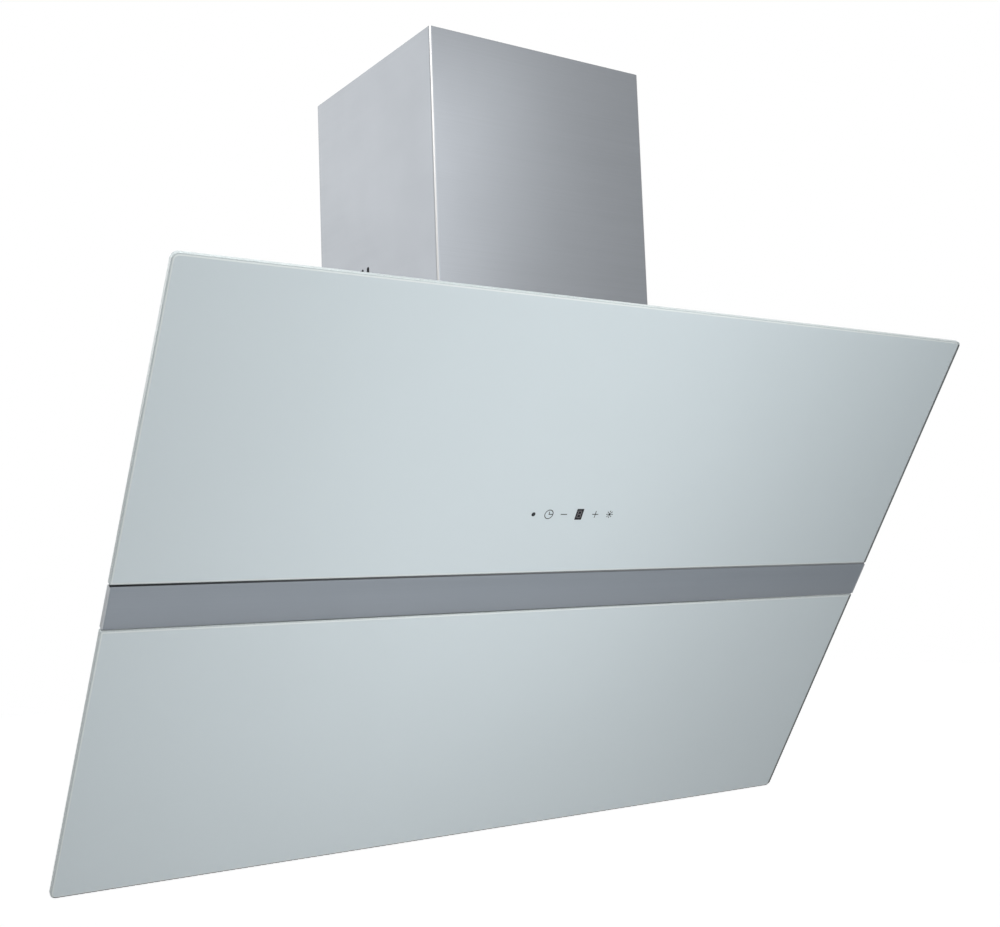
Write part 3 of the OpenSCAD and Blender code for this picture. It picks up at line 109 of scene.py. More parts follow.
class Tree:
    """A node tree, with short ways to add to it."""

    def __init__(self, tree: bpy.types.NodeTree) -> None:
        """Empties the tree and keeps it."""
        tree.nodes.clear()
        self.tree = tree

    def feed(self, socket: Socket, value: object) -> None:
        """Sets an input to a constant, or joins an output or a node's first output to it.

        Args:
            socket: The input.
            value: The constant, output or node. A colour is three numbers.
        """
        if isinstance(value, bpy.types.Node):
            value = value.outputs[0]
        if isinstance(value, Socket):
            self.tree.links.new(value, socket)
        else:
            socket.default_value = (*value, 1.0) if socket.type == "RGBA" else value

    def node(self, kind: str, inputs: dict[str | int, object] | None = None,
             **settings: object) -> bpy.types.Node:
        """Adds a node.

        Args:
            kind: Blender's name of the node type.
            inputs: Values of its inputs, by name or number.
            **settings: Its own properties.

        Returns:
            The new node.
        """
        made = self.tree.nodes.new(kind)
        for key, value in settings.items():
            setattr(made, key, value)
        for key, value in (inputs or {}).items():
            self.feed(made.inputs[key], value)
        return made

    def sum(self, operation: str, first: object, second: object = 0.0) -> bpy.types.Node:
        """Adds a node that works out one value from two."""
        return self.node("ShaderNodeMath", {0: first, 1: second}, operation=operation)


# Materials


class Grain(Enum):
    """Which way the lines of a brushed or drawn surface run, as scales along X, Y and Z."""

    LEVEL = (5.0, 5.0, 1400.0)
    ACROSS = (5.0, 900.0, 900.0)
    UPRIGHT = (900.0, 900.0, 5.0)


class Graph(Tree):
    """A material's tree around one Principled shader."""

    def __init__(self, name: str) -> None:
        """Starts a material with its shader and its output.

        Args:
            name: Name of the material.
        """
        self.material = bpy.data.materials.new(name)
        self.material.use_nodes = True
        super().__init__(self.material.node_tree)
        self.shader = self.node("ShaderNodeBsdfPrincipled")
        self.node("ShaderNodeOutputMaterial", {"Surface": self.shader})

    def surface(self, **values: object) -> None:
        """Feeds the shader's own sockets, each named with underscores for its spaces."""
        for key, value in values.items():
            self.feed(self.shader.inputs[key.replace("_", " ")], value)

    def place(self, stretch: Sequence[float] = (1.0, 1.0, 1.0)) -> Socket:
        """Gives Object coordinates, scaled along the three axes."""
        coordinates = self.node("ShaderNodeTexCoord").outputs["Object"]
        return self.node("ShaderNodeMapping", {"Vector": coordinates, "Scale": stretch}).outputs["Vector"]

    def axis(self, vector: Socket, letter: str) -> Socket:
        """Gives one coordinate of a vector."""
        return self.node("ShaderNodeSeparateXYZ", {0: vector}).outputs[letter]

    def noise(self, scale: float, detail: float = 2.0, roughness: float = 0.5,
              stretch: Sequence[float] = (1.0, 1.0, 1.0)) -> Socket:
        """Adds noise on Object coordinates.

        Args:
            scale: Repeats a metre.
            detail: Number of octaves.
            roughness: Weight of the fine octaves.
            stretch: Scale of the coordinates along X, Y and Z.

        Returns:
            The factor output.
        """
        inputs = {"Vector": self.place(stretch), "Scale": scale, "Detail": detail, "Roughness": roughness}
        return self.node("ShaderNodeTexNoise", inputs).outputs["Fac"]

    def spread(self, value: object, low: float, high: float, start: float = 0.3, end: float = 0.7) -> Socket:
        """Maps a factor to a range of numbers.

        Args:
            value: The factor.
            low: Result at start and below.
            high: Result at end and above.
            start: Factor where the range begins.
            end: Factor where it ends.

        Returns:
            The mapped output.
        """
        inputs = {"Value": value, "From Min": start, "From Max": end, "To Min": low, "To Max": high}
        return self.node("ShaderNodeMapRange", inputs).outputs["Result"]

    def between(self, value: object, first: Colour, second: Colour, start: float = 0.3,
                end: float = 0.7) -> Socket:
        """Blends two colours by a factor.

        Args:
            value: The factor.
            first: Colour at start and below.
            second: Colour at end and above.
            start: Factor where the blend begins.
            end: Factor where it ends.

        Returns:
            The colour output.
        """
        made = self.node("ShaderNodeValToRGB", {"Fac": value})
        for stop, spot, colour in zip(made.color_ramp.elements, (start, end), (first, second)):
            stop.position = spot
            stop.color = (*colour, 1.0)
        return made.outputs["Color"]

    def tones(self, value: object, colour: Colour, dark: float, light: float, start: float = 0.3,
              end: float = 0.7) -> Socket:
        """Blends two shades of one colour by a factor.

        Args:
            value: The factor.
            colour: The colour.
            dark: Share of it at start and below.
            light: Share of it at end and above.
            start: Factor where the blend begins.
            end: Factor where it ends.

        Returns:
            The colour output.
        """
        shades = [tuple(min(1.0, part * share) for part in colour) for share in (dark, light)]
        return self.between(value, *shades, start, end)

    def bump(self, height: object, distance: float, strength: float) -> None:
        """Gives the shader relief, by its height in metres and the share of it that shows."""
        relief = self.node("ShaderNodeBump", {"Height": height, "Distance": distance, "Strength": strength})
        self.surface(Normal=relief)


class Finish(Protocol):
    """What every finish has."""

    name: str

    def build(self) -> bpy.types.Material:
        """Makes the material."""


@cache
def material_of(finish: Finish) -> bpy.types.Material:
    """Gives a finish's material, made on first use."""
    return finish.build()


@dataclass(frozen=True)
class PaintedGlass:
    """Clear glass over paint on its back, seen from the front."""

    name: str = "painted_glass"
    colour: Colour = (0.625, 0.70, 0.728)
    roughness: float = 0.07
    haze: float = 0.05

    def build(self) -> bpy.types.Material:
        """Makes the material with the faint clouds of the paint and the waviness of float glass.

        Returns:
            The material.
        """
        graph = Graph(self.name)
        clouds = graph.noise(scale=3.0, detail=3.0)
        haze = graph.noise(scale=14.0, detail=4.0)
        graph.surface(Base_Color=graph.tones(clouds, self.colour, dark=0.985, light=1.01), IOR=1.5,
                      Roughness=graph.spread(haze, self.roughness, self.roughness + self.haze))
        graph.bump(graph.noise(scale=5.0, detail=1.0), distance=0.0004, strength=0.3)
        return graph.material


@dataclass(frozen=True)
class GroundEdge:
    """The ground and polished edge of a pane."""

    name: str = "ground_edge"
    colour: Colour = (0.57, 0.63, 0.635)

    def build(self) -> bpy.types.Material:
        """Makes the material with fine wheel marks along the edge.

        Returns:
            The material.
        """
        graph = Graph(self.name)
        marks = graph.noise(scale=40.0, detail=3.0, stretch=(30.0, 30.0, 30.0))
        graph.surface(Base_Color=graph.tones(marks, self.colour, dark=0.9, light=1.0), IOR=1.5,
                      Roughness=graph.spread(marks, low=0.2, high=0.38))
        graph.bump(marks, distance=0.00005, strength=0.4)
        return graph.material


@dataclass(frozen=True)
class PaintFilm:
    """Matt enamel, as on the back of the panes."""

    name: str
    colour: Colour
    roughness: float = 0.55
    peel: float = 0.12

    def build(self) -> bpy.types.Material:
        """Makes the material with the orange peel of a sprayed coat.

        Returns:
            The material.
        """
        graph = Graph(self.name)
        peel = graph.noise(scale=420.0)
        tone = graph.noise(scale=9.0, detail=4.0)
        graph.surface(Base_Color=graph.tones(tone, self.colour, dark=0.93, light=1.0),
                      Roughness=graph.spread(peel, self.roughness, self.roughness + self.peel))
        graph.bump(peel, distance=0.00006, strength=0.5)
        return graph.material


@dataclass(frozen=True)
class BrushedMetal:
    """Metal with fine parallel lines."""

    name: str
    colour: Colour
    grain: Grain
    roughness: float = 0.34
    contrast: float = 0.06
    metallic: float = 1.0
    bend_highlight: Colour | None = None
    bend_span: Point2 = (0.22, 0.42)

    def bends(self, graph: Graph) -> Socket:
        """Finds the upright bends, where the sheet faces neither straight ahead nor straight aside, for the
        painted highlight.

        Args:
            graph: The material's tree.

        Returns:
            The factor output, which is 1 in a bend.
        """
        facing = graph.node("ShaderNodeTexCoord").outputs["Normal"]
        both = graph.sum("MULTIPLY", graph.axis(facing, "X"), graph.axis(facing, "Y"))
        return graph.spread(graph.sum("ABSOLUTE", both), 0.0, 1.0, *self.bend_span)

    def build(self) -> bpy.types.Material:
        """Makes the material with lines in its colour, roughness and relief, faint handling marks, and a
        painted highlight in the bends where it has a bend highlight colour.

        Returns:
            The material.
        """
        graph = Graph(self.name)
        lines = graph.noise(scale=1.0, detail=4.0, roughness=0.7, stretch=self.grain.value)
        tone = graph.tones(lines, self.colour, dark=1.0 - self.contrast, light=1.0 + self.contrast)
        # Painted highlight: the bends take a lighter colour.
        if self.bend_highlight:
            inputs = {"Factor": self.bends(graph), "A": tone, "B": self.bend_highlight}
            tone = graph.node("ShaderNodeMix", inputs, data_type="RGBA").outputs["Result"]
        smears = graph.noise(scale=11.0, detail=4.0, roughness=0.6)
        rough = graph.sum("ADD", graph.spread(lines, low=-0.05, high=0.05),
                          graph.spread(smears, self.roughness - 0.02, self.roughness + 0.03))
        graph.surface(Base_Color=tone, Roughness=rough, Metallic=self.metallic)
        graph.bump(lines, distance=0.00002, strength=0.35)
        return graph.material


@dataclass(frozen=True)
class GalvanisedSheet:
    """Zinc-coated sheet steel with its spangle."""

    name: str = "galvanised_sheet"
    colour: Colour = (0.50, 0.52, 0.54)

    def build(self) -> bpy.types.Material:
        """Makes the material with crystals of different tone and gloss.

        Returns:
            The material.
        """
        graph = Graph(self.name)
        where = graph.place((1.0, 1.0, 0.8))
        crystals = graph.node("ShaderNodeTexVoronoi", {"Vector": where, "Scale": 220.0, "Randomness": 1.0})
        tone = graph.node("ShaderNodeSeparateColor", {"Color": crystals.outputs["Color"]}).outputs
        colour = graph.tones(tone["Red"], self.colour, dark=0.95, light=1.04, start=0.0, end=1.0)
        rough = graph.spread(tone["Green"], low=0.42, high=0.52, start=0.0, end=1.0)
        graph.surface(Base_Color=colour, Roughness=rough, Metallic=0.85)
        graph.bump(graph.noise(scale=260.0), distance=0.00003, strength=0.4)
        return graph.material


@dataclass(frozen=True)
class MouldedPlastic:
    """Injection-moulded plastic with a spark-eroded texture."""

    name: str
    colour: Colour
    roughness: float = 0.5
    texture: float = 0.00005
    specular: float = 0.5

    def build(self) -> bpy.types.Material:
        """Makes the material with its fine texture and faint flow marks.

        Returns:
            The material.
        """
        graph = Graph(self.name)
        flow = graph.noise(scale=22.0, detail=3.0, stretch=(1.0, 1.0, 3.0))
        graph.surface(Base_Color=graph.tones(flow, self.colour, dark=0.9, light=1.08), IOR=1.46,
                      Roughness=graph.spread(flow, self.roughness - 0.04, self.roughness + 0.06),
                      Specular_IOR_Level=self.specular)
        graph.bump(graph.noise(scale=1500.0), distance=self.texture, strength=0.5)
        return graph.material


@dataclass(frozen=True)
class GapShade:
    """Foam strip whose colour is painted shade: near black at the hood's left end, fading to grey at its
    right end.
    """

    name: str = "gap_painted_shade"
    shaded_left: Colour = (0.018, 0.019, 0.021)
    lighter_right: Colour = (0.33, 0.345, 0.36)
    reach: float = 0.45

    def build(self) -> bpy.types.Material:
        """Makes the material with its pores and the painted shade that fades from black to grey along it.

        Returns:
            The material.
        """
        graph = Graph(self.name)
        along = graph.spread(graph.axis(graph.place(), "X"), 0.0, 1.0, -self.reach, self.reach)
        pores = graph.noise(scale=1800.0)
        graph.surface(Base_Color=graph.between(along, self.shaded_left, self.lighter_right, start=0.0, end=1.0),
                      Roughness=graph.spread(pores, low=0.7, high=0.9), Specular_IOR_Level=0.2)
        graph.bump(pores, distance=0.0001, strength=0.5)
        return graph.material


@dataclass(frozen=True)
class Ink:
    """Dark printed symbols."""

    name: str = "print_ink"
    colour: Colour = (0.016, 0.018, 0.022)

    def build(self) -> bpy.types.Material:
        """Makes the material with the slight unevenness of screen print.

        Returns:
            The material.
        """
        graph = Graph(self.name)
        grain = graph.noise(scale=2500.0)
        graph.surface(Base_Color=graph.tones(grain, self.colour, dark=0.8, light=1.3), Roughness=0.35,
                      Specular_IOR_Level=0.22)
        return graph.material


@dataclass(frozen=True)
class PaleFloor:
    """The studio's floor, which glows white to the camera and in mirrors, less to the right in mirrors."""

    name: str = "pale_floor"
    low: Colour = (0.90, 0.90, 0.90)
    high: Colour = (0.93, 0.93, 0.93)
    glow: float = 0.72
    seen_lift: float = 1.08
    far_glow: float = 0.2
    glow_span: Point2 = (0.3, 2.3)

    def build(self) -> bpy.types.Material:
        """Makes the material with its glow by the kind of ray.

        Returns:
            The material.
        """
        graph = Graph(self.name)
        ray = graph.node("ShaderNodeLightPath").outputs
        falloff = graph.spread(graph.axis(graph.place(), "X"), 1.0, self.far_glow, *self.glow_span)
        seen = graph.sum("MAXIMUM", graph.sum("MULTIPLY", ray["Is Camera Ray"], self.seen_lift),
                         graph.sum("MULTIPLY", ray["Is Glossy Ray"], falloff))
        seen = graph.sum("MAXIMUM", seen, ray["Is Transmission Ray"])
        glow = graph.sum("MULTIPLY", seen, self.glow)
        graph.surface(Base_Color=graph.between(graph.noise(scale=0.8), self.low, self.high), Roughness=0.9,
                      Emission_Color=(1.0, 1.0, 1.0), Emission_Strength=glow)
        return graph.material


class Palette:
    """The finishes of the hood's pieces."""

    GLASS = PaintedGlass()
    RIM = PaintedGlass("rim_facet_glass", (0.74, 0.79, 0.79), 0.12)
    EDGE = GroundEdge()
    # A darker copy of the ground edge: painted shade on the panes' right and lower edges.
    SHADED_EDGE = GroundEdge("painted_shade_edge", (0.15, 0.165, 0.17))
    PANE_BACK = PaintFilm("pane_back_enamel", (0.66, 0.68, 0.68))
    BAND = BrushedMetal("band_satin", (0.265, 0.295, 0.330), Grain.ACROSS, 0.50, 0.03, 0.4)
    # A lighter copy of the band's satin for the end caps: painted light on their ends.
    BAND_END_LIT = BrushedMetal("band_end_painted_light", (0.44, 0.46, 0.48), Grain.ACROSS, 0.45, 0.04, 0.4)
    # The chimney's lighter bend colour is a painted highlight along its corners.
    CHIMNEY = BrushedMetal("chimney_brushed", (0.232, 0.246, 0.264), Grain.LEVEL, 0.345, 0.035, 1.0,
                           (0.39, 0.39, 0.39))
    ZINC = GalvanisedSheet()
    STEEL = BrushedMetal("bright_steel", (0.56, 0.57, 0.58), Grain.ACROSS, 0.28, 0.04)
    NICKEL = BrushedMetal("nickel_plate", (0.60, 0.59, 0.56), Grain.ACROSS, 0.25, 0.03)
    FILTER_METAL = BrushedMetal("filter_aluminium", (0.66, 0.67, 0.68), Grain.ACROSS, 0.42, 0.05)
    MESH_METAL = BrushedMetal("mesh_aluminium", (0.60, 0.61, 0.62), Grain.ACROSS, 0.40, 0.06)
    LAMINATIONS = BrushedMetal("stacked_laminations", (0.20, 0.20, 0.21), Grain.UPRIGHT, 0.5, 0.2)
    BLACK = MouldedPlastic("black_plastic", (0.022, 0.023, 0.025))
    GREY = MouldedPlastic("grey_plastic", (0.075, 0.079, 0.086))
    OPAL = MouldedPlastic("opal_plastic", (0.82, 0.82, 0.79), 0.32, 0.00001)
    BOARD = MouldedPlastic("circuit_board", (0.02, 0.13, 0.06), 0.3, 0.00003)
    SILICONE = MouldedPlastic("silicone_bead", (0.42, 0.43, 0.43), 0.35, 0.00001)
    # Black for the sheets behind the chimney's vents: painted shade in the vents.
    VENT_SHADE = MouldedPlastic("vent_painted_shade", (0.012, 0.012, 0.013), 0.9, 0.0002)
    WINDOW = MouldedPlastic("display_window", (0.022, 0.023, 0.027), 0.2, 0.00001, 0.2)
    SEGMENTS = MouldedPlastic("display_segments", (0.135, 0.125, 0.13), 0.3, 0.00001, 0.2)
    # Painted shade in the gap under the upper pane, black at the left and grey at the right.
    GAP_SHADE = GapShade()
    INK = Ink()
    FLOOR = PaleFloor()


# Outlines


def rectangle(low: Point2, high: Point2) -> list[Point2]:
    """Gives the corners of a rectangle, counterclockwise."""
    return [(low[0], low[1]), (high[0], low[1]), (high[0], high[1]), (low[0], high[1])]


def circle(centre: Point2, radius: float, count: int, start: float = 0.0) -> list[Point2]:
    """Gives points round a circle, counterclockwise.

    Args:
        centre: Its centre.
        radius: Its radius.
        count: Number of points.
        start: Angle of the first point.

    Returns:
        The points.
    """
    angles = [start + 2 * math.pi * step / count for step in range(count)]
    return [(centre[0] + radius * math.cos(angle), centre[1] + radius * math.sin(angle)) for angle in angles]


def rounded_outline(low: Point2, high: Point2, radii: Sequence[float], inset: float,
                    steps: int) -> list[Point2]:
    """Draws a rectangle with its own radius at each corner.

    Args:
        low: Its low corner.
        high: Its high corner.
        radii: Radii at low-low, high-low, high-high and low-high.
        inset: How far the whole outline is moved inwards.
        steps: Segments in each corner.

    Returns:
        The points, counterclockwise.
    """
    points = []
    for turn, ((x, y), radius) in enumerate(zip(rectangle(low, high), radii)):
        side_x = 1 if turn in (0, 3) else -1
        side_y = 1 if turn in (0, 1) else -1
        reach = max(radius - inset, 0.0)
        centre = (x + side_x * max(radius, inset), y + side_y * max(radius, inset))
        for step in range(steps + 1):
            angle = math.pi + (turn + step / steps) * math.pi / 2
            points.append((centre[0] + reach * math.cos(angle), centre[1] + reach * math.sin(angle)))
    return points


def rounded_path(points: Sequence[Point2], radius: float, steps: int = 6) -> list[Point2]:
    """Rounds the corners of a closed outline.

    Args:
        points: The corners in order.
        radius: How far from each corner the rounding begins.
        steps: Segments in each corner.

    Returns:
        The points of the rounded outline.
    """
    path = []
    for index, point in enumerate(points):
        corner = Vector(point)
        before = (Vector(points[index - 1]) - corner).normalized() * radius
        after = (Vector(points[(index + 1) % len(points)]) - corner).normalized() * radius
        for step in range(steps + 1):
            share = step / steps
            spot = corner + before * (1 - share) ** 2 + after * share ** 2
            path.append((spot.x, spot.y))
    return path


# Meshes


class Workpiece:
    """Gathers the mesh of one piece in a local frame and turns it into an object."""

    def __init__(self, place: Matrix | None = None) -> None:
        """Starts an empty mesh in a local frame, or in the part's own."""
        self.bm = bmesh.new()
        self.place = place or Matrix.Identity(4)

    def loft(self, rings: Sequence[Sequence[Sequence[float]]], slots: Sequence[int] | int = 0,
             around: bool = False) -> None:
        """Joins closed rings of points by quads.

        Args:
            rings: Rings with the same number of points.
            slots: Material slots of the first cap, each gap between rings and the last cap, or one for all.
            around: Whether the last ring joins the first, in place of caps.
        """
        verts = [[self.bm.verts.new(point) for point in ring] for ring in rings]
        pairs = list(zip(verts, verts[1:])) + ([(verts[-1], verts[0])] if around else [])
        if isinstance(slots, int):
            slots = [slots] * (len(pairs) + 2)
        for slot, (one, two) in zip(slots[1:], pairs):
            for index in range(len(one)):
                after = (index + 1) % len(one)
                self.bm.faces.new((one[index], one[after], two[after], two[index])).material_index = slot
        if not around:
            self.bm.faces.new(verts[0][::-1]).material_index = slots[0]
            self.bm.faces.new(verts[-1]).material_index = slots[-1]

    def block(self, first: Sequence[float], second: Sequence[float], soft: float) -> None:
        """Adds a box with rounded edges.

        Args:
            first: One corner.
            second: The corner opposite to it.
            soft: Width of the rounding.
        """
        low, high = Vector(tuple(map(min, first, second))), Vector(tuple(map(max, first, second)))
        size = Matrix.Diagonal((*(high - low), 1.0))
        made = bmesh.ops.create_cube(self.bm, size=1.0, matrix=Matrix.Translation((low + high) / 2) @ size)
        edges = list(dict.fromkeys(edge for vert in made["verts"] for edge in vert.link_edges))
        bmesh.ops.bevel(self.bm, geom=edges, offset=soft, segments=2, profile=0.5, affect="EDGES")

    def tube(self, path: Sequence[Sequence[float]], radius: float, sides: int = 8,
             around: bool = False) -> None:
        """Adds a round bar along a path.

        Args:
            path: Points of its centre line.
            radius: Its radius.
            sides: Sides of its section.
            around: Whether the path closes.
        """
        rings = []
        count = len(path)
        for index, point in enumerate(map(Vector, path)):
            before = Vector(path[index - 1]) if index or around else point
            after = Vector(path[(index + 1) % count]) if index < count - 1 or around else point
            along = (after - before).normalized()
            side = (side - along * side.dot(along) if rings else along.orthogonal()).normalized()
            other = along.cross(side)
            rings.append([point + x * side + y * other for x, y in circle((0.0, 0.0), radius, sides)])
        self.loft(rings, around=around)

    def object(self, name: str, *finishes: Finish, merge: float = 1e-6,
               smooth: float = 32.0) -> bpy.types.Object:
        """Makes the object, with its place in its mesh and its faces pointing outwards.

        Args:
            name: Name of the piece.
            *finishes: Finishes of its slots.
            merge: Distance at which points are joined.
            smooth: Angle in degrees up to which edges are smooth.

        Returns:
            The object, linked to the scene.
        """
        bmesh.ops.remove_doubles(self.bm, verts=self.bm.verts, dist=merge)
        bmesh.ops.recalc_face_normals(self.bm, faces=self.bm.faces)
        self.bm.transform(self.place)
        mesh = bpy.data.meshes.new(name)
        self.bm.to_mesh(mesh)
        self.bm.free()
        mesh.shade_smooth()
        mesh.set_sharp_from_angle(angle=math.radians(smooth))
        made = bpy.data.objects.new(name, mesh)
        bpy.context.scene.collection.objects.link(made)
        for finish in finishes:
            mesh.materials.append(material_of(finish))
        return made


def plain_mesh(source: bpy.types.Object, modifier: bpy.types.Modifier) -> bpy.types.Mesh:
    """Keeps what a modifier makes of an object as a plain mesh.

    Args:
        source: The object.
        modifier: Its modifier, which is removed.

    Returns:
        The new mesh.
    """
    graph = bpy.context.evaluated_depsgraph_get()
    result = bpy.data.meshes.new_from_object(source.evaluated_get(graph))
    source.modifiers.remove(modifier)
    return result


class Layout(Tree):
    """A Geometry Nodes tree with a named input for each size, which ends in plain faces with a material."""

    def __init__(self, name: str, finish: Finish, sizes: dict[str, float]) -> None:
        """Starts the tree and its inputs.

        Args:
            name: Name of the tree.
            finish: Finish of what it makes.
            sizes: Names of the inputs, and their values.
        """
        super().__init__(bpy.data.node_groups.new(name, "GeometryNodeTree"))
        self.finish = finish
        self.values = sizes
        self.names: dict[str, str] = {}
        sockets = self.tree.interface
        for way in ("OUTPUT", "INPUT"):
            sockets.new_socket("Geometry", in_out=way, socket_type="NodeSocketGeometry")
        for key, value in sizes.items():
            kind = "NodeSocketInt" if isinstance(value, int) else "NodeSocketFloat"
            self.names[key] = sockets.new_socket(key, in_out="INPUT", socket_type=kind).identifier
        self.given = self.node("NodeGroupInput")

    def sizes(self) -> list[Socket]:
        """Gives the outputs that carry the named sizes, in their order."""
        return [self.given.outputs[key] for key in self.names]

    def times(self, first: object, second: object) -> bpy.types.Node:
        """Adds a product of two values."""
        return self.sum("MULTIPLY", first, second)

    def vector(self, x: object, y: object, z: object) -> bpy.types.Node:
        """Adds a vector made of three values."""
        return self.node("ShaderNodeCombineXYZ", {0: x, 1: y, 2: z})

    def move(self, geometry: bpy.types.Node, height: object, turn: float = 0.0) -> bpy.types.Node:
        """Adds a node that turns a geometry about Z and moves it along Z.

        Args:
            geometry: The geometry to move.
            height: How far it rises.
            turn: Its turn about Z in radians.

        Returns:
            The node.
        """
        rise = self.vector(0.0, 0.0, height)
        inputs = {"Geometry": geometry, "Translation": rise, "Rotation": (0.0, 0.0, turn)}
        return self.node("GeometryNodeTransform", inputs)

    def repeat(self, points: object, instance: bpy.types.Node, **more: object) -> bpy.types.Node:
        """Adds a node that puts an instance at every point."""
        return self.node("GeometryNodeInstanceOnPoints", {"Points": points, "Instance": instance, **more})

    def along_aim(self, instance: bpy.types.Node, turn: float = 0.0) -> bpy.types.Node:
        """Puts an instance at every given point, with its Z along the point's aim.

        Args:
            instance: The geometry to repeat.
            turn: Extra turn about the aim from one point to the next.

        Returns:
            The node of the instances.
        """
        aim = self.node("GeometryNodeInputNamedAttribute", {"Name": "aim"}, data_type="FLOAT_VECTOR")
        upright = self.node("FunctionNodeAlignRotationToVector", {"Vector": aim}, axis="Z")
        angle = self.times(self.node("GeometryNodeInputIndex"), turn)
        spin = self.node("FunctionNodeAxisAngleToRotation", {"Axis": (0.0, 0.0, 1.0), "Angle": angle})
        turned = self.node("FunctionNodeRotateRotation", {0: upright, 1: spin}, rotation_space="LOCAL")
        return self.repeat(self.given, instance, Rotation=turned)

    def end(self, geometry: bpy.types.Node) -> "Layout":
        """Ends the tree in plain faces with its material, ready to be used.

        Args:
            geometry: The node with the finished geometry.

        Returns:
            The layout itself.
        """
        plain = self.node("GeometryNodeRealizeInstances", {"Geometry": geometry})
        painted = {"Geometry": plain, "Material": material_of(self.finish)}
        self.node("NodeGroupOutput", {0: self.node("GeometryNodeSetMaterial", painted)})
        return self

    def make(self, name: str, spots: Sequence[Sequence[float]], aims: Sequence[Sequence[float]] = (),
             place: Matrix | None = None, **sizes: float) -> bpy.types.Object:
        """Runs the tree on points and keeps its result as a plain object.

        Args:
            name: Name of the piece.
            spots: The points.
            aims: The direction at each point, or none.
            place: The local frame of the result, or None for the part's own.
            **sizes: Inputs that differ from the layout's own values.

        Returns:
            The object, linked to the scene.
        """
        carrier = bpy.data.meshes.new(f"{name}_points")
        carrier.from_pydata([tuple(spot) for spot in spots], [], [])
        if aims:
            directions = carrier.attributes.new("aim", "FLOAT_VECTOR", "POINT")
            for item, aim in zip(directions.data, aims):
                item.vector = aim
        source = bpy.data.objects.new(f"{name}_source", carrier)
        bpy.context.scene.collection.objects.link(source)
        modifier = source.modifiers.new("layout", "NODES")
        modifier.node_group = self.tree
        for key, value in {**self.values, **sizes}.items():
            modifier[self.names[key]] = value
        piece = Workpiece(place)
        piece.bm.from_mesh(plain_mesh(source, modifier))
        for face in piece.bm.faces:
            face.material_index = 0
        bpy.data.objects.remove(source)
        return piece.object(name, self.finish, merge=FINE_MERGE)


@dataclass
class Workshop:
    """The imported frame, and the ways to dress its nodes and to fit pieces to it."""

    frame: dict

    def dress(self, finish: Finish, *nodes: str) -> None:
        """Gives a finish to CAD nodes that stay as they are.

        Args:
            finish: The finish.
            *nodes: Names of the nodes.
        """
        for node in nodes:
            mesh = self.frame["nodes"][node].data
            mesh.materials.clear()
            mesh.materials.append(material_of(finish))
            log.info("node %s: %s", node, finish.name)

    def fit(self, piece: bpy.types.Object, body: str, slot: str, *replaced: str) -> None:
        """Puts a finished piece on its body.

        Args:
            piece: The piece, in its place.
            body: The body that it moves with.
            slot: The record's material slot that it belongs to; not used.
            *replaced: CAD nodes that it stands for.
        """
        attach(piece, body)
        if replaced:
            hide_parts(*replaced)
        log.info("piece %s on %s: %d faces", piece.name, body, len(piece.data.polygons))


# Sub-assemblies


@dataclass
class GlassPanes:
    """The two painted panes with their ground edges and the polished facets round their fronts.

    The facet is facet wide and facet_depth deep. Its outer part is line wide, but right_shade_line at the
    right side and low_shade_line at the lower pane's lower edge, where it takes a darker copy of the edge
    finish as painted shade.
    """

    width: float = 0.900
    thickness: float = 0.005
    upper_length: float = 0.283
    lower_start: float = 0.327
    lower_length: float = 0.2858
    corner: float = 0.006
    inner_corner: float = 0.001
    facet: float = 0.0022
    line: float = 0.0011
    right_shade_line: float = 0.0036
    low_shade_line: float = 0.0016
    facet_depth: float = 0.0005
    arris: float = 0.0003
    steps: int = 8

    def pane(self, name: str, start: float, length: float, round_low: bool) -> bpy.types.Object:
        """Builds one pane.

        Args:
            name: Name of the piece.
            start: Its upper edge, down the slope.
            length: Its length down the slope.
            round_low: Whether the large corners are at its lower edge.

        Returns:
            The pane.
        """
        big, small = self.corner, self.inner_corner
        radii = (small, small, big, big) if round_low else (big, big, small, small)
        half, end = self.width / 2, start + length
        outer = (half, end)
        inner = (half - self.right_shade_line + self.line, end - (self.low_shade_line - self.line if round_low else 0.0))
        lean = self.facet_depth * (self.facet - self.line) / (self.facet - self.arris)
        sections = ((self.facet, inner, 0.0), (self.line, inner, lean), (self.arris, outer, self.facet_depth),
                    (0.0, outer, self.facet_depth + self.arris), (0.0, outer, self.thickness - self.arris),
                    (self.arris, outer, self.thickness))
        piece = Workpiece(SLOPE.matrix())
        rings = []
        for inset, high, depth in sections:
            outline = rounded_outline((-half, start), high, radii, inset, self.steps)
            rings.append([(x, s, depth) for x, s in outline])
        front, edge, back, rim, shaded_edge = range(5)
        piece.loft(rings, (front, rim, edge, edge, edge, edge, back))
        # Edge faces at the right side and along the lower pane's lower edge take the darker edge finish:
        # painted shade.
        for face in piece.bm.faces:
            middle = face.calc_center_median()
            low_side = round_low and middle.y > end - self.low_shade_line
            if face.material_index == edge and (middle.x > half - big / 2 or low_side):
                face.material_index = shaded_edge
        return piece.object(name, Palette.GLASS, Palette.EDGE, Palette.PANE_BACK, Palette.RIM,
                            Palette.SHADED_EDGE, smooth=8.0)

    def build(self, shop: Workshop) -> None:
        """Builds both panes and fits them.

        Args:
            shop: The workshop.
        """
        upper = self.pane("upper_pane", 0.0, self.upper_length, False)
        shop.fit(upper, "hood", "white_glass", "upper_glass")
        lower = self.pane("lower_pane", self.lower_start, self.lower_length, True)
        shop.fit(lower, "door", "white_glass", "lower_glass")


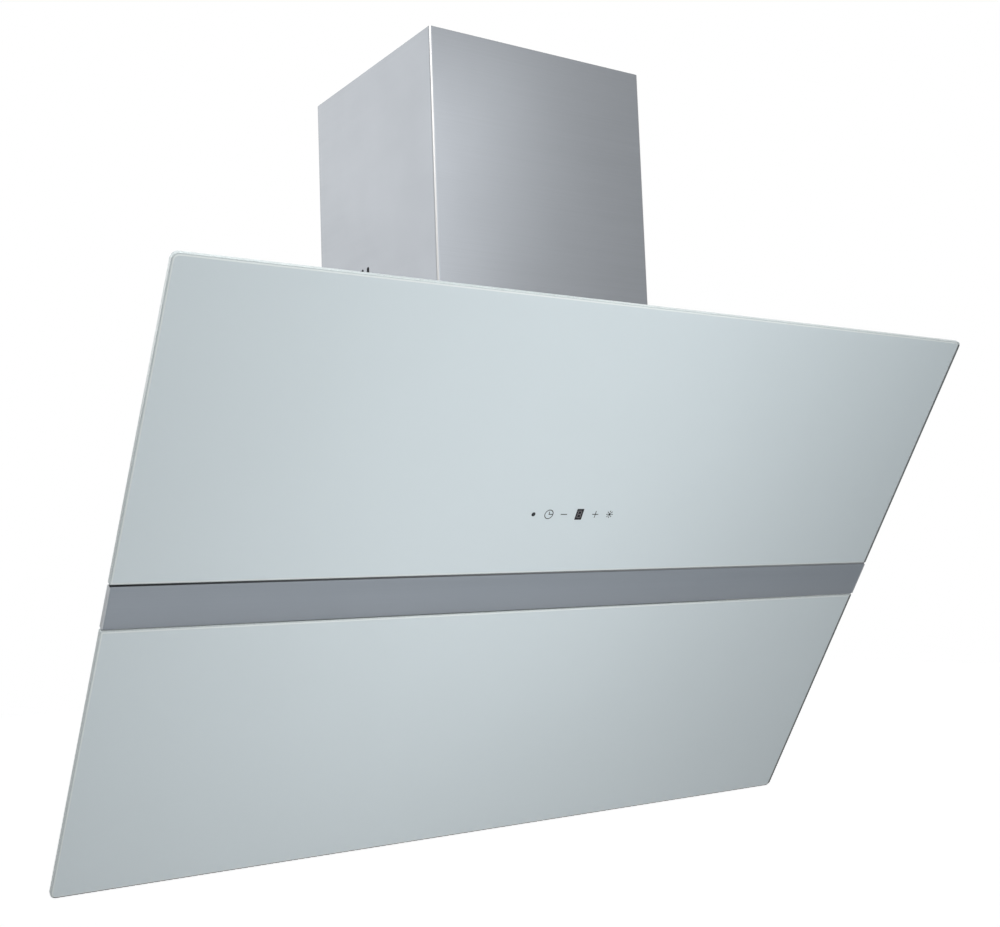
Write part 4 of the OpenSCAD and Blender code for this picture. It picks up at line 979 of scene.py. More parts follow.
@dataclass
class TouchSymbols:
    """The symbols printed behind the upper pane, with the display's dark window and its digit."""

    middle: float = 0.2174
    stroke: float = 0.00085
    relief: float = 0.00006
    dot: Point2 = (-0.0548, 0.0)
    dot_radius: float = 0.0022
    clock: Point2 = (-0.0366, 0.0)
    clock_radius: float = 0.0047
    clock_steps: int = 40
    short_hand: Point2 = (-0.0030, 0.0004)
    minus_x: float = -0.0187
    plus_x: float = 0.0197
    light: Point2 = (0.0376, 0.0)
    arm: float = 0.0038
    core_radius: float = 0.0015
    rays: int = 8
    ray: Point2 = (0.0022, 0.0041)
    window: Point2 = (0.0083, 0.0120)
    window_corner: float = 0.0005
    digit: Point2 = (0.0021, 0.0037)
    segment: float = 0.0008
    segment_end: float = 0.65
    segment_tip: float = 0.6
    segment_lift: float = 0.00003

    def patch(self, piece: Workpiece, outline: Sequence[Point2], slot: int = 0, lift: float = 0.0) -> None:
        """Adds a thin flat patch in front of the glass.

        Args:
            piece: The piece that it is drawn on.
            outline: Its outline, from the middle of the display.
            slot: Material slot.
            lift: How far it lies in front of the print.
        """
        piece.loft([[(x, self.middle + y, depth) for x, y in outline]
                    for depth in (-self.relief - lift, self.relief)], slot)

    def bar(self, piece: Workpiece, start: Point2, end: Point2) -> None:
        """Adds a straight stroke from one point to another.

        Args:
            piece: The piece to add it to.
            start: Its first point, from the middle of the display.
            end: Its last point.
        """
        first, last = Vector(start), Vector(end)
        side = (last - first).normalized().orthogonal() * self.stroke / 2
        corners = (first - side, last - side, last + side, first + side)
        self.patch(piece, [tuple(corner) for corner in corners])

    def symbols(self) -> bpy.types.Object:
        """Draws the dot, clock, minus, plus and light.

        Returns:
            The symbols.
        """
        piece = Workpiece(SLOPE.matrix())
        self.patch(piece, circle(self.dot, self.dot_radius, count=24))
        count = self.clock_steps
        reaches = [self.clock_radius + side * self.stroke / 2 for side in SIDES]
        inner, outer = (circle(self.clock, reach, count) for reach in reaches)
        for step in range(count):
            after = (step + 1) % count
            self.patch(piece, [inner[step], outer[step], outer[after], inner[after]])
        clock_x = self.clock[0]
        self.bar(piece, (clock_x, self.short_hand[0]), (clock_x, self.short_hand[1]))
        self.bar(piece, self.clock, (clock_x + self.clock_radius, 0.0))
        for x in (self.minus_x, self.plus_x):
            self.bar(piece, (x - self.arm, 0.0), (x + self.arm, 0.0))
        self.bar(piece, (self.plus_x, -self.arm), (self.plus_x, self.arm))
        for start, end in zip(*(circle(self.light, reach, self.rays) for reach in self.ray)):
            self.bar(piece, start, end)
        self.patch(piece, circle(self.light, self.core_radius, count=16))
        return piece.object("touch_symbols", Palette.INK, merge=FINE_MERGE)

    def display(self) -> bpy.types.Object:
        """Draws the dark window with the outline of its unlit digit.

        Returns:
            The display.
        """
        piece = Workpiece(SLOPE.matrix())
        x, y = self.window[0] / 2, self.window[1] / 2
        self.patch(piece, rounded_outline((-x, -y), (x, y), (self.window_corner,) * 4, inset=0.0, steps=4))
        x, y = self.digit
        level = [((-x, height), (x, height)) for height in (-y, 0.0, y)]
        upright = [((way, low), (way, low + y)) for low in (-y, 0.0) for way in (-x, x)]
        for start, end in level + upright:
            along = (Vector(end) - Vector(start)).normalized() * self.segment * self.segment_end
            first, last = Vector(start) + along, Vector(end) - along
            side = Vector((-along.y, along.x)).normalized() * self.segment / 2
            tip = along * self.segment_tip
            outline = (first - tip, first - side, last - side, last + tip, last + side, first + side)
            self.patch(piece, [tuple(corner) for corner in outline], 1, self.segment_lift)
        return piece.object("display_window", Palette.WINDOW, Palette.SEGMENTS, merge=FINE_MERGE)

    def build(self, shop: Workshop) -> None:
        """Draws everything that the pane shows and fits it."""
        shop.fit(self.symbols(), "hood", "black_plastic")
        shop.fit(self.display(), "hood", "black_plastic")


@dataclass
class CentreBand:
    """The aluminium profile between the panes, with an end cap at each side in a lighter copy of its finish
    as painted light.
    """

    width: float = 0.900
    start: float = 0.285
    end: float = 0.325
    wall: float = 0.0016
    leg_inset: float = 0.003
    depth: float = 0.0065
    cap: float = 0.0016
    cap_depth: float = 0.005
    soft: float = 0.0003
    lip: float = 0.0010

    def profile(self) -> list[Point2]:
        """Gives the section of the profile in s and d.

        Returns:
            The points of the section.
        """
        s0, s1, leg, wall = self.start, self.end, self.leg_inset, self.wall
        return [(s0 + self.soft, 0.0), (s1 - self.soft, 0.0), (s1, self.soft),
                (s1 + self.lip, self.soft + self.lip / 2), (s1 + self.lip, wall), (s1 - leg, wall),
                (s1 - leg, self.depth), (s1 - leg - wall, self.depth), (s1 - leg - wall, wall),
                (s0 + leg + wall, wall), (s0 + leg + wall, self.depth), (s0 + leg, self.depth),
                (s0 + leg, wall), (s0, wall), (s0, self.soft)]

    def build(self, shop: Workshop) -> None:
        """Builds the profile and its caps.

        Args:
            shop: The workshop.
        """
        end = self.width / 2
        half = end - self.cap
        profile, caps = Workpiece(SLOPE.matrix()), Workpiece(SLOPE.matrix())
        profile.loft([[(x, s, d) for s, d in self.profile()] for x in (-half, half)])
        band = profile.object("band_profile", Palette.BAND, smooth=50.0)
        shop.fit(band, "hood", "band_aluminium", "centre_band")
        for side in SIDES:
            caps.block((side * half, self.start, 0.0), (side * end, self.end, self.cap_depth), self.soft)
        # The end caps take the lighter copy of the band's finish as painted light.
        shop.fit(caps.object("band_end_caps", Palette.BAND_END_LIT), "hood", "band_aluminium")


@dataclass
class Seals:
    """The strip in the gap under the upper pane, which puts painted shade in the gap, and the beads of
    silicone round the backing frames.
    """

    half_width: float = 0.449
    gap: Point2 = (0.2832, 0.2848)
    gap_depth: Point2 = (0.0007, 0.0048)
    gap_soft: float = 0.0003
    frame_half: float = 0.420
    upper: Point2 = (0.020, 0.276)
    lower: Point2 = (0.333, 0.600)
    glass_back: float = 0.005
    bead: float = 0.0011
    bead_lift: float = 0.6
    corner: float = 0.003

    def bead_round(self, name: str, span: Point2) -> bpy.types.Object:
        """Lays a bead round one frame.

        Args:
            name: Name of the piece.
            span: Where the frame begins and ends down the slope.

        Returns:
            The bead.
        """
        corners = rectangle((-self.frame_half, span[0]), (self.frame_half, span[1]))
        depth = self.glass_back + self.bead * self.bead_lift
        piece = Workpiece(SLOPE.matrix())
        piece.tube([(x, s, depth) for x, s in rounded_path(corners, self.corner)], self.bead, around=True)
        return piece.object(name, Palette.SILICONE)

    def build(self, shop: Workshop) -> None:
        """Fits the strip and both beads.

        Args:
            shop: The workshop.
        """
        strip = Workpiece(SLOPE.matrix())
        low, high = ((side * self.half_width, s, d) for side, s, d in zip(SIDES, self.gap, self.gap_depth))
        # The gap strip is painted shade in the gap under the upper pane.
        strip.block(low, high, self.gap_soft)
        shop.fit(strip.object("gap_strip", Palette.GAP_SHADE), "hood", "grey_plastic")
        shop.fit(self.bead_round("upper_silicone_bead", self.upper), "hood", "grey_plastic")
        shop.fit(self.bead_round("door_silicone_bead", self.lower), "door", "grey_plastic")


@dataclass
class Chimney:
    """The two nested covers, the parts that carry them and the black sheets behind the vents, which put
    painted shade in the vents.
    """

    shade_sheet_x: Point2 = (0.1299, 0.1304)
    shade_sheet_y: Point2 = (-0.1165, -0.0170)
    shade_sheet_z: Point2 = (0.2600, 0.3310)
    shade_sheet_soft: float = 0.0001

    def build(self, shop: Workshop) -> None:
        """Dresses the covers, the feet and the ceiling strip, and fits the black sheets that paint shade into
        the vents.

        Args:
            shop: The workshop.
        """
        shop.dress(Palette.CHIMNEY, "chimney_lower_cover", "chimney_upper_cover")
        shop.dress(Palette.ZINC, "ceiling_bracket", "chimney_feet")
        # Black sheets behind the vents, as painted shade in them.
        shade_sheets = Workpiece()
        for side in SIDES:
            low, high = ((side * x, y, z) for x, y, z in zip(self.shade_sheet_x, self.shade_sheet_y, self.shade_sheet_z))
            shade_sheets.block(low, high, self.shade_sheet_soft)
        shop.fit(shade_sheets.object("vent_liners", Palette.VENT_SHADE, merge=FINE_MERGE), "hood", "black_plastic")


@dataclass(frozen=True)
class LeaningRows:
    """Screws on the slope, one at each pair of a distance across and a distance down it."""

    across: tuple[float, ...]
    down: tuple[float, ...]
    depth: float


@dataclass
class Screws:
    """Pan-head screws with a cross recess and a rolled thread, and the rows that they stand in."""

    head_radius: float = 0.0036
    head_height: float = 0.0022
    crown: float = 0.55
    shank_radius: float = 0.0017
    length: float = 0.006
    short_length: float = 0.0023
    thread_pitch: float = 0.0016
    thread_height: float = 0.0003
    thread_span: float = 0.85
    thread_start: float = 0.92
    recess: float = 0.0038
    recess_width: float = 0.0008
    recess_depth: float = 0.0010
    turn: float = 2.4
    side_x: float = 0.282
    top_y: Point2 = (-0.0679, -0.2717)
    top_z: float = 0.228
    front: LeaningRows = LeaningRows((0.282,), (0.1526, 0.5125), 0.045)
    rail: LeaningRows = LeaningRows((0.179, 0.221), (0.0874, 0.2806), 0.0438)
    hinge: LeaningRows = LeaningRows((0.221, 0.249), (0.375,), 0.0435)
    foot_y: Point2 = (-0.142, -0.106)
    foot_x: float = 0.1315
    foot_z: float = 0.2405
    back_y: float = -0.0024
    back_z: Point2 = (-0.0921, 0.1365)
    collar: Point2 = (0.0, -0.1457)
    collar_radius: float = 0.0805
    collar_z: float = 0.231
    scroll_x: float = 0.078
    scroll_y: Point2 = (-0.0945, -0.1949)
    motor_x: float = -0.074
    motor: Point2 = (-0.1022, 0.0848)
    motor_radius: float = 0.0735

    def layout(self) -> Layout:
        """Builds the tree that puts a screw at each point.

        Returns:
            The layout, ready to be used.
        """
        tree = Layout("screw_layout", Palette.STEEL, {
            "Head Radius": self.head_radius, "Head Height": self.head_height,
            "Shank Radius": self.shank_radius, "Length": self.length, "Recess": self.recess,
            "Recess Width": self.recess_width, "Recess Depth": self.recess_depth})
        head_radius, head_height, shank_radius, length, recess, width, depth = tree.sizes()
        ball = tree.node("GeometryNodeMeshUVSphere", {"Segments": 24, "Rings": 12, "Radius": 1.0})
        place = tree.node("ShaderNodeSeparateXYZ", {0: tree.node("GeometryNodeInputPosition")}).outputs
        rise = tree.sum("POWER", tree.sum("MAXIMUM", place["Z"], 0.0), self.crown)
        dome = tree.vector(tree.times(place["X"], head_radius), tree.times(place["Y"], head_radius),
                           tree.times(rise, head_height))
        head = tree.node("GeometryNodeSetPosition", {"Geometry": ball, "Position": dome})
        cut = tree.node("GeometryNodeMeshBoolean", {"Mesh 1": head}, operation="DIFFERENCE")
        for turn in (0.0, math.pi / 2):
            size = tree.vector(recess, width, tree.times(depth, 2.0))
            arm = tree.node("GeometryNodeMeshCube", {"Size": size})
            tree.feed(cut.inputs["Mesh 2"], tree.move(arm, head_height, turn))
        bar = {"Vertices": 12, "Radius": shank_radius, "Depth": length}
        shank = tree.node("GeometryNodeMeshCylinder", bar)
        helix = tree.node("GeometryNodeCurveSpiral", {
            "Resolution": 12, "Rotations": tree.sum("DIVIDE", length, self.thread_pitch),
            "Start Radius": shank_radius, "End Radius": shank_radius,
            "Height": tree.times(length, self.thread_span)})
        ridge = tree.node("GeometryNodeCurvePrimitiveCircle", {"Resolution": 3, "Radius": self.thread_height})
        wound = {"Curve": helix, "Profile Curve": ridge, "Fill Caps": True}
        thread = tree.node("GeometryNodeCurveToMesh", wound)
        screw = tree.node("GeometryNodeJoinGeometry")
        for part in (cut, tree.move(shank, tree.times(length, -0.5)),
                     tree.move(thread, tree.times(length, -self.thread_start))):
            tree.feed(screw.inputs[0], part)
        return tree.end(tree.along_aim(screw, self.turn))

    def casing_rows(self) -> tuple[list[Sequence[float]], list[Sequence[float]]]:
        """Places the screws of the top plate, front plate, rails, hinges and chimney feet.

        Returns:
            The screws' places and directions.
        """
        outward = SLOPE.matrix().to_3x3() @ Vector((0.0, 0.0, -1.0))
        leaning = [(x, s, rows.depth) for rows in (self.front, self.rail, self.hinge)
                   for x in rows.across for s in rows.down]
        spots, aims = [], []
        for side in SIDES:
            spots += [(side * self.side_x, y, self.top_z) for y in self.top_y]
            spots += [SLOPE.point(side * x, s, depth) for x, s, depth in leaning]
            spots += [(side * self.foot_x, y, self.foot_z) for y in self.foot_y]
            aims += [(0.0, 0.0, 1.0)] * 2 + [outward] * len(leaning) + [(side, 0.0, 0.0)] * 2
        return spots, aims

    def blower_rows(self) -> tuple[list[Sequence[float]], list[Sequence[float]]]:
        """Places the screws of the collar, the scroll housing and the motor's bracket.

        Returns:
            The screws' places and directions.
        """
        spots = []
        for turn, (x, y) in enumerate(circle(self.collar, self.collar_radius, 4, math.pi / 4)):
            spots.append((x, y, self.collar_z))
            spots.append(((self.scroll_x, -self.scroll_x)[turn % 2], self.scroll_y[turn // 2], self.top_z))
        arms = circle(self.motor, self.motor_radius, 3, math.pi / 2)
        aims = [(0.0, 0.0, 1.0)] * len(spots) + [(-1.0, 0.0, 0.0)] * len(arms)
        return spots + [(self.motor_x, y, z) for y, z in arms], aims

    def build(self, shop: Workshop) -> None:
        """Fits the casing's, the back's and the blower's screws.

        Args:
            shop: The workshop.
        """
        layout = self.layout()
        casing = layout.make("casing_screw_set", *self.casing_rows())
        shop.fit(casing, "hood", "bright_steel", "casing_screws")
        wall = [(side * self.side_x, self.back_y, z) for side in SIDES for z in self.back_z]
        behind = layout.make("back_screw_set", wall, [(0.0, -1.0, 0.0)] * len(wall), Length=self.short_length)
        shop.fit(behind, "hood", "bright_steel")
        blower = layout.make("blower_screw_set", *self.blower_rows())
        shop.fit(blower, "hood", "bright_steel", "blower_screws")


@dataclass
class Casing:
    """The folded sheet casing with its pressed grooves, beads and weld marks."""

    half_width: float = 0.290
    side: tuple[Point2, ...] = ((-0.3386, 0.228), (0.0, 0.228), (0.0, -0.2293), (-0.0416, -0.2293))
    bead_inset: tuple[Point2, ...] = ((-0.250, 0.188), (-0.040, 0.188), (-0.040, -0.105))
    bead_radius: float = 0.0022
    bead_sunk: float = 0.4
    bead_corner: float = 0.030
    weld_radius: float = 0.0028
    weld_height: float = 0.00018
    weld_pitch: float = 0.046
    weld_inset: float = 0.008
    groove_half: Point2 = (0.250, 0.205)
    groove_corner: float = 0.03
    groove_rows: tuple[float, ...] = (-0.100, 0.0, 0.100)
    groove_reach: float = 0.185
    groove_run: Point2 = (0.012, 0.0011)
    groove_radius: float = 0.006
    groove_depth: float = 0.0007
    groove_sides: int = 40

    def back(self, shop: Workshop) -> bpy.types.Object:
        """Presses stiffening grooves into a copy of the back panel.

        Args:
            shop: The workshop.

        Returns:
            The panel.
        """
        sheet, press = Workpiece(), Workpiece()
        sheet.bm.from_mesh(shop.frame["nodes"]["casing_back_panel"].data)
        panel = sheet.object("grooved_back_panel", Palette.ZINC)
        half_x, half_z = self.groove_half
        axis = self.groove_radius - self.groove_depth
        ring = rounded_path(rectangle((-half_x, -half_z), (half_x, half_z)), self.groove_corner)
        press.tube([(x, axis, z) for x, z in ring], self.groove_radius, self.groove_sides, around=True)
        reach, (run, rise) = self.groove_reach, self.groove_run
        for z in self.groove_rows:
            ends = ((-reach - run, rise), (-reach, 0.0), (reach, 0.0), (reach + run, rise))
            press.tube([(x, axis + lift, z) for x, lift in ends], self.groove_radius, self.groove_sides)
        tool = press.object("groove_press", Palette.ZINC)
        cut = panel.modifiers.new("grooves", "BOOLEAN")
        cut.operation, cut.solver, cut.object = "DIFFERENCE", "EXACT", tool
        panel.data = plain_mesh(panel, cut)
        panel.data.shade_flat()
        bpy.data.objects.remove(tool)
        return panel

    def welds(self) -> bpy.types.Object:
        """Sets shallow weld marks along the folds of both sides.

        Returns:
            The marks.
        """
        tree = Layout("weld_layout", Palette.ZINC, {"Radius": self.weld_radius, "Height": self.weld_height})
        radius, height = tree.sizes()
        ball = tree.node("GeometryNodeMeshUVSphere", {"Segments": 16, "Rings": 6, "Radius": 1.0})
        flat = tree.vector(radius, radius, height)
        tree.end(tree.along_aim(tree.node("GeometryNodeTransform", {"Geometry": ball, "Scale": flat})))
        corners = [Vector(corner) for corner in self.side]
        middle = sum(corners, Vector((0.0, 0.0))) / len(corners)
        spots, aims = [], []
        for start, end in zip(corners, corners[1:] + corners[:1]):
            along = end - start
            inward = Vector((-along.y, along.x)).normalized()
            if inward.dot(middle - start) < 0:
                inward = -inward
            count = int(along.length / self.weld_pitch)
            for step in range(count):
                spot = start + along * (step + 0.5) / count + inward * self.weld_inset
                spots += [(side * self.half_width, spot.x, spot.y) for side in SIDES]
                aims += [(side, 0.0, 0.0) for side in SIDES]
        return tree.make("weld_marks", spots, aims)

    def beads(self) -> bpy.types.Object:
        """Presses a stiffening bead into both sides.

        Returns:
            The beads.
        """
        piece = Workpiece()
        reach = self.half_width - self.bead_radius * self.bead_sunk
        path = rounded_path(self.bead_inset, self.bead_corner)
        for side in SIDES:
            piece.tube([(side * reach, y, z) for y, z in path], self.bead_radius, sides=12, around=True)
        return piece.object("side_beads", Palette.ZINC)

    def build(self, shop: Workshop) -> None:
        """Dresses the sheet parts and the rails, and fits the back, the welds and the beads.

        Args:
            shop: The workshop.
        """
        shop.dress(Palette.ZINC, "casing_side_left", "casing_side_right", "casing_top_plate",
                   "casing_bottom_plate", "casing_front_plate", "panel_rail_left", "panel_rail_right",
                   "upper_glass_frame")
        shop.fit(self.back(shop), "hood", "zinc_sheet", "casing_back_panel")
        shop.fit(self.welds(), "hood", "zinc_sheet")
        shop.fit(self.beads(), "hood", "zinc_sheet")


@dataclass
class DoorHardware:
    """The door's backing frame, its hinges and the magnet catches."""

    def build(self, shop: Workshop) -> None:
        """Dresses the door's hardware.

        Args:
            shop: The workshop.
        """
        shop.dress(Palette.ZINC, "door_frame")
        shop.dress(Palette.STEEL, "hinge_fixed_left", "hinge_fixed_right", "hinge_moving_left",
                   "hinge_moving_right", "hinge_pins", "strike_plates")
        shop.dress(Palette.BLACK, "catch_housings")
        shop.dress(Palette.NICKEL, "catch_magnets")


@dataclass
class Filters:
    """The two grease filter cassettes with their expanded mesh, latches, guides and clips."""

    middle: Point2 = (0.133, 0.4775)
    mesh_width: float = 0.2465
    cells: int = 48
    rows: int = 48
    pitch: float = 0.00378
    strand: float = 0.0008
    sheet: float = 0.0004
    layers: tuple[float, ...] = (0.0379, 0.0394, 0.0410, 0.0429)
    layer_shift: Point2 = (0.45, 0.3)
    plate: Point3 = (0.025, 0.558, 0.568)
    plate_depth: Point2 = (0.0333, 0.0357)
    tongue: Point2 = (0.010, 0.577)
    grip: Point3 = (0.017, 0.561, 0.0243)
    overlap: float = 0.001
    skin: float = 0.0001
    plate_soft: float = 0.0005
    tongue_soft: float = 0.0008
    grip_soft: float = 0.0010
    rib_soft: float = 0.0003
    ribs: int = 7
    rib_pitch: float = 0.0044
    rib_half: float = 0.0007
    rib_reach: Point2 = (0.0004, 0.0009)
    rib_depth: Point2 = (0.0018, 0.0002)

    def mesh_layout(self) -> Layout:
        """Builds the tree of expanded mesh: zigzag strands, every other one turned half round.

        Returns:
            The layout, ready to be used.
        """
        tree = Layout("expanded_mesh_layout", Palette.MESH_METAL, {
            "Width": self.mesh_width, "Cells": self.cells, "Rows": self.rows, "Pitch": self.pitch,
            "Strand": self.strand, "Sheet": self.sheet})
        width, cells, rows, pitch, strand_width, sheet = tree.sizes()
        odd = tree.sum("MODULO", tree.node("GeometryNodeInputIndex"), 2.0)
        half = tree.times(pitch, 0.5)
        swing = tree.times(tree.sum("SUBTRACT", tree.times(odd, 2.0), 1.0), half)
        line = tree.node("GeometryNodeMeshLine", {
            "Count": tree.sum("ADD", cells, 1.0),
            "Start Location": tree.vector(tree.times(width, -0.5), 0.0, 0.0),
            "Offset": tree.vector(tree.sum("DIVIDE", width, cells), 0.0, 0.0)})
        bent = {"Geometry": line, "Offset": tree.vector(0.0, swing, 0.0)}
        zigzag = tree.node("GeometryNodeSetPosition", bent)
        flat_bar = {"Width": strand_width, "Height": sheet}
        section = tree.node("GeometryNodeCurvePrimitiveQuadrilateral", flat_bar)
        strand = tree.node("GeometryNodeCurveToMesh", {
            "Curve": tree.node("GeometryNodeMeshToCurve", {"Mesh": zigzag}), "Profile Curve": section,
            "Fill Caps": True})
        reach = tree.times(tree.sum("SUBTRACT", rows, 1.0), half)
        column = tree.node("GeometryNodeMeshLine", {
            "Count": rows, "Start Location": tree.vector(0.0, tree.times(reach, -1.0), 0.0),
            "Offset": tree.vector(0.0, pitch, 0.0)})
        half_turn = tree.vector(0.0, 0.0, tree.times(odd, math.pi))
        turned = tree.node("FunctionNodeEulerToRotation", {0: half_turn})
        return tree.end(tree.repeat(tree.given, tree.repeat(column, strand, Rotation=turned)))

    def latch(self, name: str, side: int) -> bpy.types.Object:
        """Builds one moulded latch with its finger grip.

        Args:
            name: Name of the piece.
            side: -1 for the left filter, 1 for the right one.

        Returns:
            The latch.
        """
        half, start, end = self.plate
        front, back = self.plate_depth
        tongue_half, tip = self.tongue
        grip_half, grip_end, grip_front = self.grip
        piece = Workpiece(SLOPE.matrix() @ Matrix.Translation((side * self.middle[0], 0.0, 0.0)))
        piece.block((-half, start, front), (half, end, back), self.plate_soft)
        piece.block((-tongue_half, end - self.overlap, front + self.skin),
                    (tongue_half, tip, back - self.skin), self.tongue_soft)
        piece.block((-grip_half, start, grip_front), (grip_half, grip_end, back - self.skin), self.grip_soft)
        for step in range(self.ribs):
            x = (step - self.ribs // 2) * self.rib_pitch
            low = (x - self.rib_half, grip_end - self.rib_reach[0], grip_front + self.rib_depth[0])
            high = (x + self.rib_half, grip_end + self.rib_reach[1], front + self.rib_depth[1])
            piece.block(low, high, self.rib_soft)
        return piece.object(name, Palette.GREY, merge=FINE_MERGE)

    def build(self, shop: Workshop) -> None:
        """Dresses the cassettes, weaves their mesh and fits the latches.

        Args:
            shop: The workshop.
        """
        shop.dress(Palette.FILTER_METAL, "filter_frame_left", "filter_frame_right", "latch_guides")
        shop.dress(Palette.STEEL, "filter_clips")
        layout = self.mesh_layout()
        shift_x = self.mesh_width / self.cells * self.layer_shift[0]
        shift_s = self.pitch * self.layer_shift[1]
        for name, side in zip(("left", "right"), SIDES):
            x, s = side * self.middle[0], self.middle[1]
            spots = [(x + shift_x * (index % 2), s + shift_s * (index % 2), depth)
                     for index, depth in enumerate(self.layers)]
            pack = layout.make(f"expanded_mesh_{name}", spots, (), SLOPE.matrix())
            shop.fit(pack, "hood", "filter_aluminium", f"filter_mesh_{name}")
            latch = self.latch(f"moulded_latch_{name}", side)
            shop.fit(latch, f"latch_{name}", "grey_plastic", f"filter_latch_{name}")


@dataclass
class Blower:
    """The scroll housing, the wheel, the motor, the outlet collar and its flaps."""

    def build(self, shop: Workshop) -> None:
        """Dresses the blower.

        Args:
            shop: The workshop.
        """
        shop.dress(Palette.BLACK, "impeller")
        shop.dress(Palette.GREY, "scroll_half_left", "scroll_half_right", "duct_collar")
        shop.dress(Palette.FILTER_METAL, "damper_flap_front", "damper_flap_rear", "motor_capacitor")
        shop.dress(Palette.STEEL, "motor_can", "motor_end_cover", "motor_shaft", "motor_bearings",
                   "motor_bracket", "damper_spindle")
        shop.dress(Palette.LAMINATIONS, "motor_stator", "motor_rotor")


@dataclass
class Electrics:
    """The control box, the terminals, the gland and the touch unit."""

    def build(self, shop: Workshop) -> None:
        """Dresses the electrical parts.

        Args:
            shop: The workshop.
        """
        shop.dress(Palette.BLACK, "cable_gland", "control_box", "touch_housing", "display_module")
        shop.dress(Palette.GREY, "control_box_lid")
        shop.dress(Palette.OPAL, "terminal_block")
        shop.dress(Palette.BOARD, "touch_board")


@dataclass
class Lamp:
    """The lamp in the bottom plate with its ribbed lens."""

    half_length: float = 0.210
    middle: float = -0.02129
    half_width: float = 0.0078
    low: float = -0.2303
    high: float = -0.2283
    ribs: int = 12
    rib_steps: int = 6
    rib_height: float = 0.00035

    def lens(self) -> bpy.types.Object:
        """Draws the lens with fine ribs along its lower face.

        Returns:
            The lens.
        """
        points = []
        steps = self.ribs * self.rib_steps
        for step in range(steps + 1):
            share = step / steps
            lift = self.rib_height * (1 - abs(math.sin(math.pi * share * self.ribs)))
            points.append((self.middle + self.half_width * (2 * share - 1), self.low + lift))
        points += [(self.middle + side * self.half_width, self.high) for side in (1, -1)]
        piece = Workpiece()
        piece.loft([[(x, y, z) for y, z in points] for x in (-self.half_length, self.half_length)])
        return piece.object("lamp_lens", Palette.OPAL, merge=FINE_MERGE, smooth=60.0)

    def build(self, shop: Workshop) -> None:
        """Dresses the lamp and fits its lens.

        Args:
            shop: The workshop.
        """
        shop.dress(Palette.FILTER_METAL, "lamp_housing")
        shop.dress(Palette.OPAL, "lamp_board")
        shop.fit(self.lens(), "hood", "opal_plastic", "lamp_diffuser")


# Studio


@dataclass(frozen=True)
class SoftLamp:
    """A soft square lamp that the camera doesn't see."""

    name: str
    place: Point3
    size: float
    power: float
    mirrored: bool = True
    aim: Point3 = (0.0, -0.25, 0.1)

    def hang(self) -> None:
        """Adds the lamp, turned to the point that it faces."""
        data = bpy.data.lights.new(self.name, "AREA")
        data.shape = "SQUARE"
        data.size = self.size
        data.energy = self.power
        made = bpy.data.objects.new(self.name, data)
        made.location = self.place
        made.rotation_euler = (Vector(self.aim) - Vector(self.place)).to_track_quat("-Z", "Y").to_euler()
        made.visible_camera = False
        made.visible_glossy = self.mirrored
        bpy.context.scene.collection.objects.link(made)


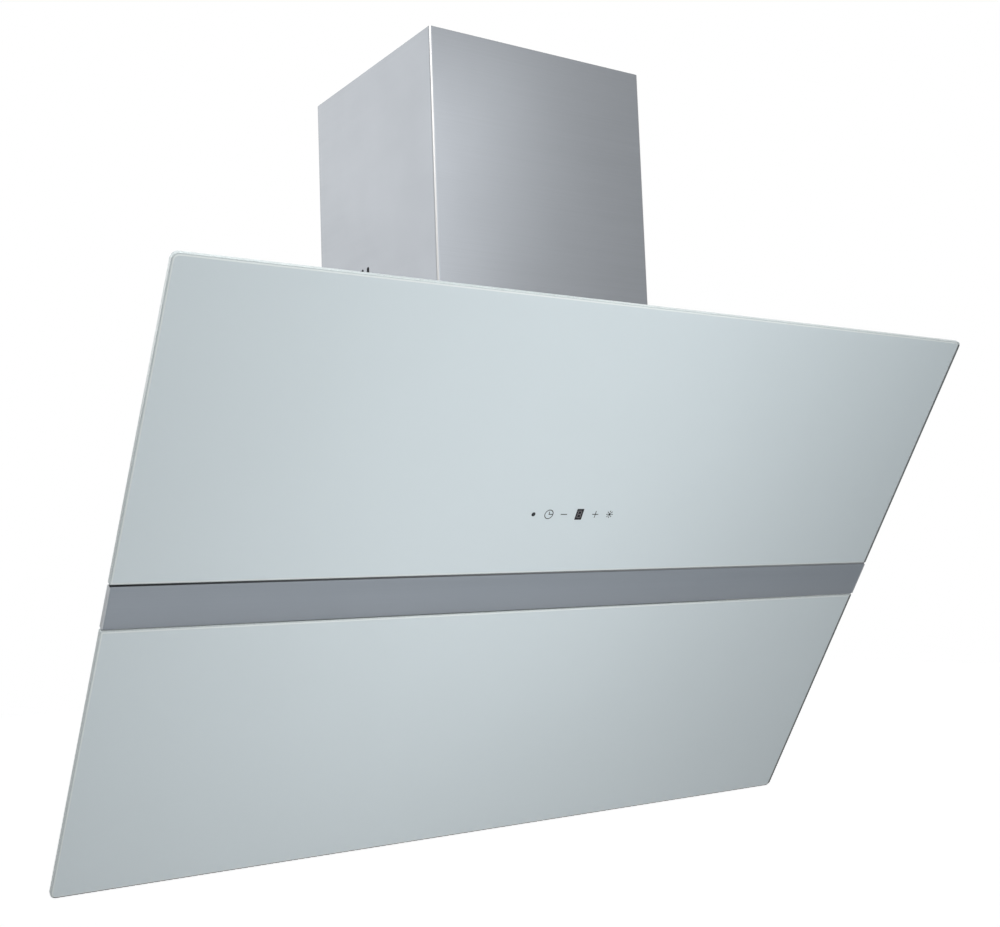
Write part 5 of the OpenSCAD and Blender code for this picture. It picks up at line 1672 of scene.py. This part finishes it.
@dataclass
class Studio:
    """The floor, the world, the lamps and the camera."""

    floor_z: float = -1.3
    floor_half: float = 15.0
    camera_place: Point3 = (-0.782258, -1.305276, -0.010945)
    camera_turn: Point3 = (1.664946, 0.037155, -0.590852)
    lens: float = 47.4746
    sensor: float = 36.0
    far_clip: float = 100.0
    light: tuple[Colour, float] = ((0.96, 0.98, 1.0), 0.20)
    white: tuple[Colour, float] = ((1.0, 1.0, 1.0), 1.0)
    lamps: tuple[SoftLamp, ...] = (
        SoftLamp("overhead", (-0.8, -0.8, 1.2), 0.9, 14.0),
        SoftLamp("near_right", (-0.05, -0.808, -0.12), 0.3, 0.47, False),
        SoftLamp("near_left", (-0.14, -0.63, -0.326), 0.3, 0.42, False),
        SoftLamp("near_low", (-0.16, -0.963, -0.364), 0.4, 0.86, False),
        SoftLamp("low", (-0.3, -1.3, -0.5), 0.9, 0.9, False),
        SoftLamp("chimney_front", (0.03, -1.0, 0.49), 0.7, 3.2),
        SoftLamp("left", (-1.5, -0.9, 0.6), 0.9, 1.6),
        SoftLamp("side", (-0.95, 1.0, 0.85), 1.0, 4.3, aim=(-0.1, -0.1, 0.4)),
        SoftLamp("rear", (1.3, 1.4, 0.6), 1.2, 12.0, aim=(0.0, 0.0, 0.1)))

    def camera(self) -> None:
        """Sets the camera at the photograph's place and angle."""
        data = bpy.data.cameras.new("view")
        data.sensor_width = self.sensor
        data.sensor_fit = "HORIZONTAL"
        data.lens = self.lens
        data.clip_end = self.far_clip
        made = bpy.data.objects.new("view", data)
        made.location = self.camera_place
        made.rotation_euler = self.camera_turn
        bpy.context.scene.collection.objects.link(made)
        bpy.context.scene.camera = made

    def world(self) -> None:
        """Makes a world that is white to the camera and in reflections, and dimmer as a light."""
        world = bpy.data.worlds.new("studio")
        bpy.context.scene.world = world
        world.use_nodes = True
        tree = Tree(world.node_tree)
        ray = tree.node("ShaderNodeLightPath").outputs
        seen = tree.sum("MAXIMUM", ray["Is Camera Ray"], ray["Is Glossy Ray"])
        seen = tree.sum("MAXIMUM", seen, ray["Is Transmission Ray"])
        dim, white = (tree.node("ShaderNodeBackground", {"Color": colour, "Strength": strength})
                      for colour, strength in (self.light, self.white))
        mix = tree.node("ShaderNodeMixShader", {"Fac": seen, 1: dim, 2: white})
        tree.node("ShaderNodeOutputWorld", {"Surface": mix})

    def floor(self) -> None:
        """Lays the pale floor, which looks white and keeps the object's shadow."""
        half = self.floor_half
        piece = Workpiece()
        corners = rectangle((-half, -half), (half, half))
        piece.bm.faces.new([piece.bm.verts.new((x, y, self.floor_z)) for x, y in corners])
        piece.object("floor", Palette.FLOOR)

    def build(self) -> None:
        """Sets up the whole studio."""
        self.camera()
        self.world()
        self.floor()
        for lamp in self.lamps:
            lamp.hang()


def main() -> None:
    """Builds the studio, then the hood's sub-assemblies in order."""
    bpy.context.scene.view_settings.view_transform = "Standard"
    logging.basicConfig(level=logging.INFO, format="%(message)s")
    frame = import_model()
    shop = Workshop(frame)
    Studio().build()
    for part in (Casing(), DoorHardware(), Filters(), Blower(), Electrics(), Lamp(), Chimney(), GlassPanes(),
                 TouchSymbols(), CentreBand(), Seals(), Screws()):
        part.build(shop)


if __name__ == "__main__":
    main()
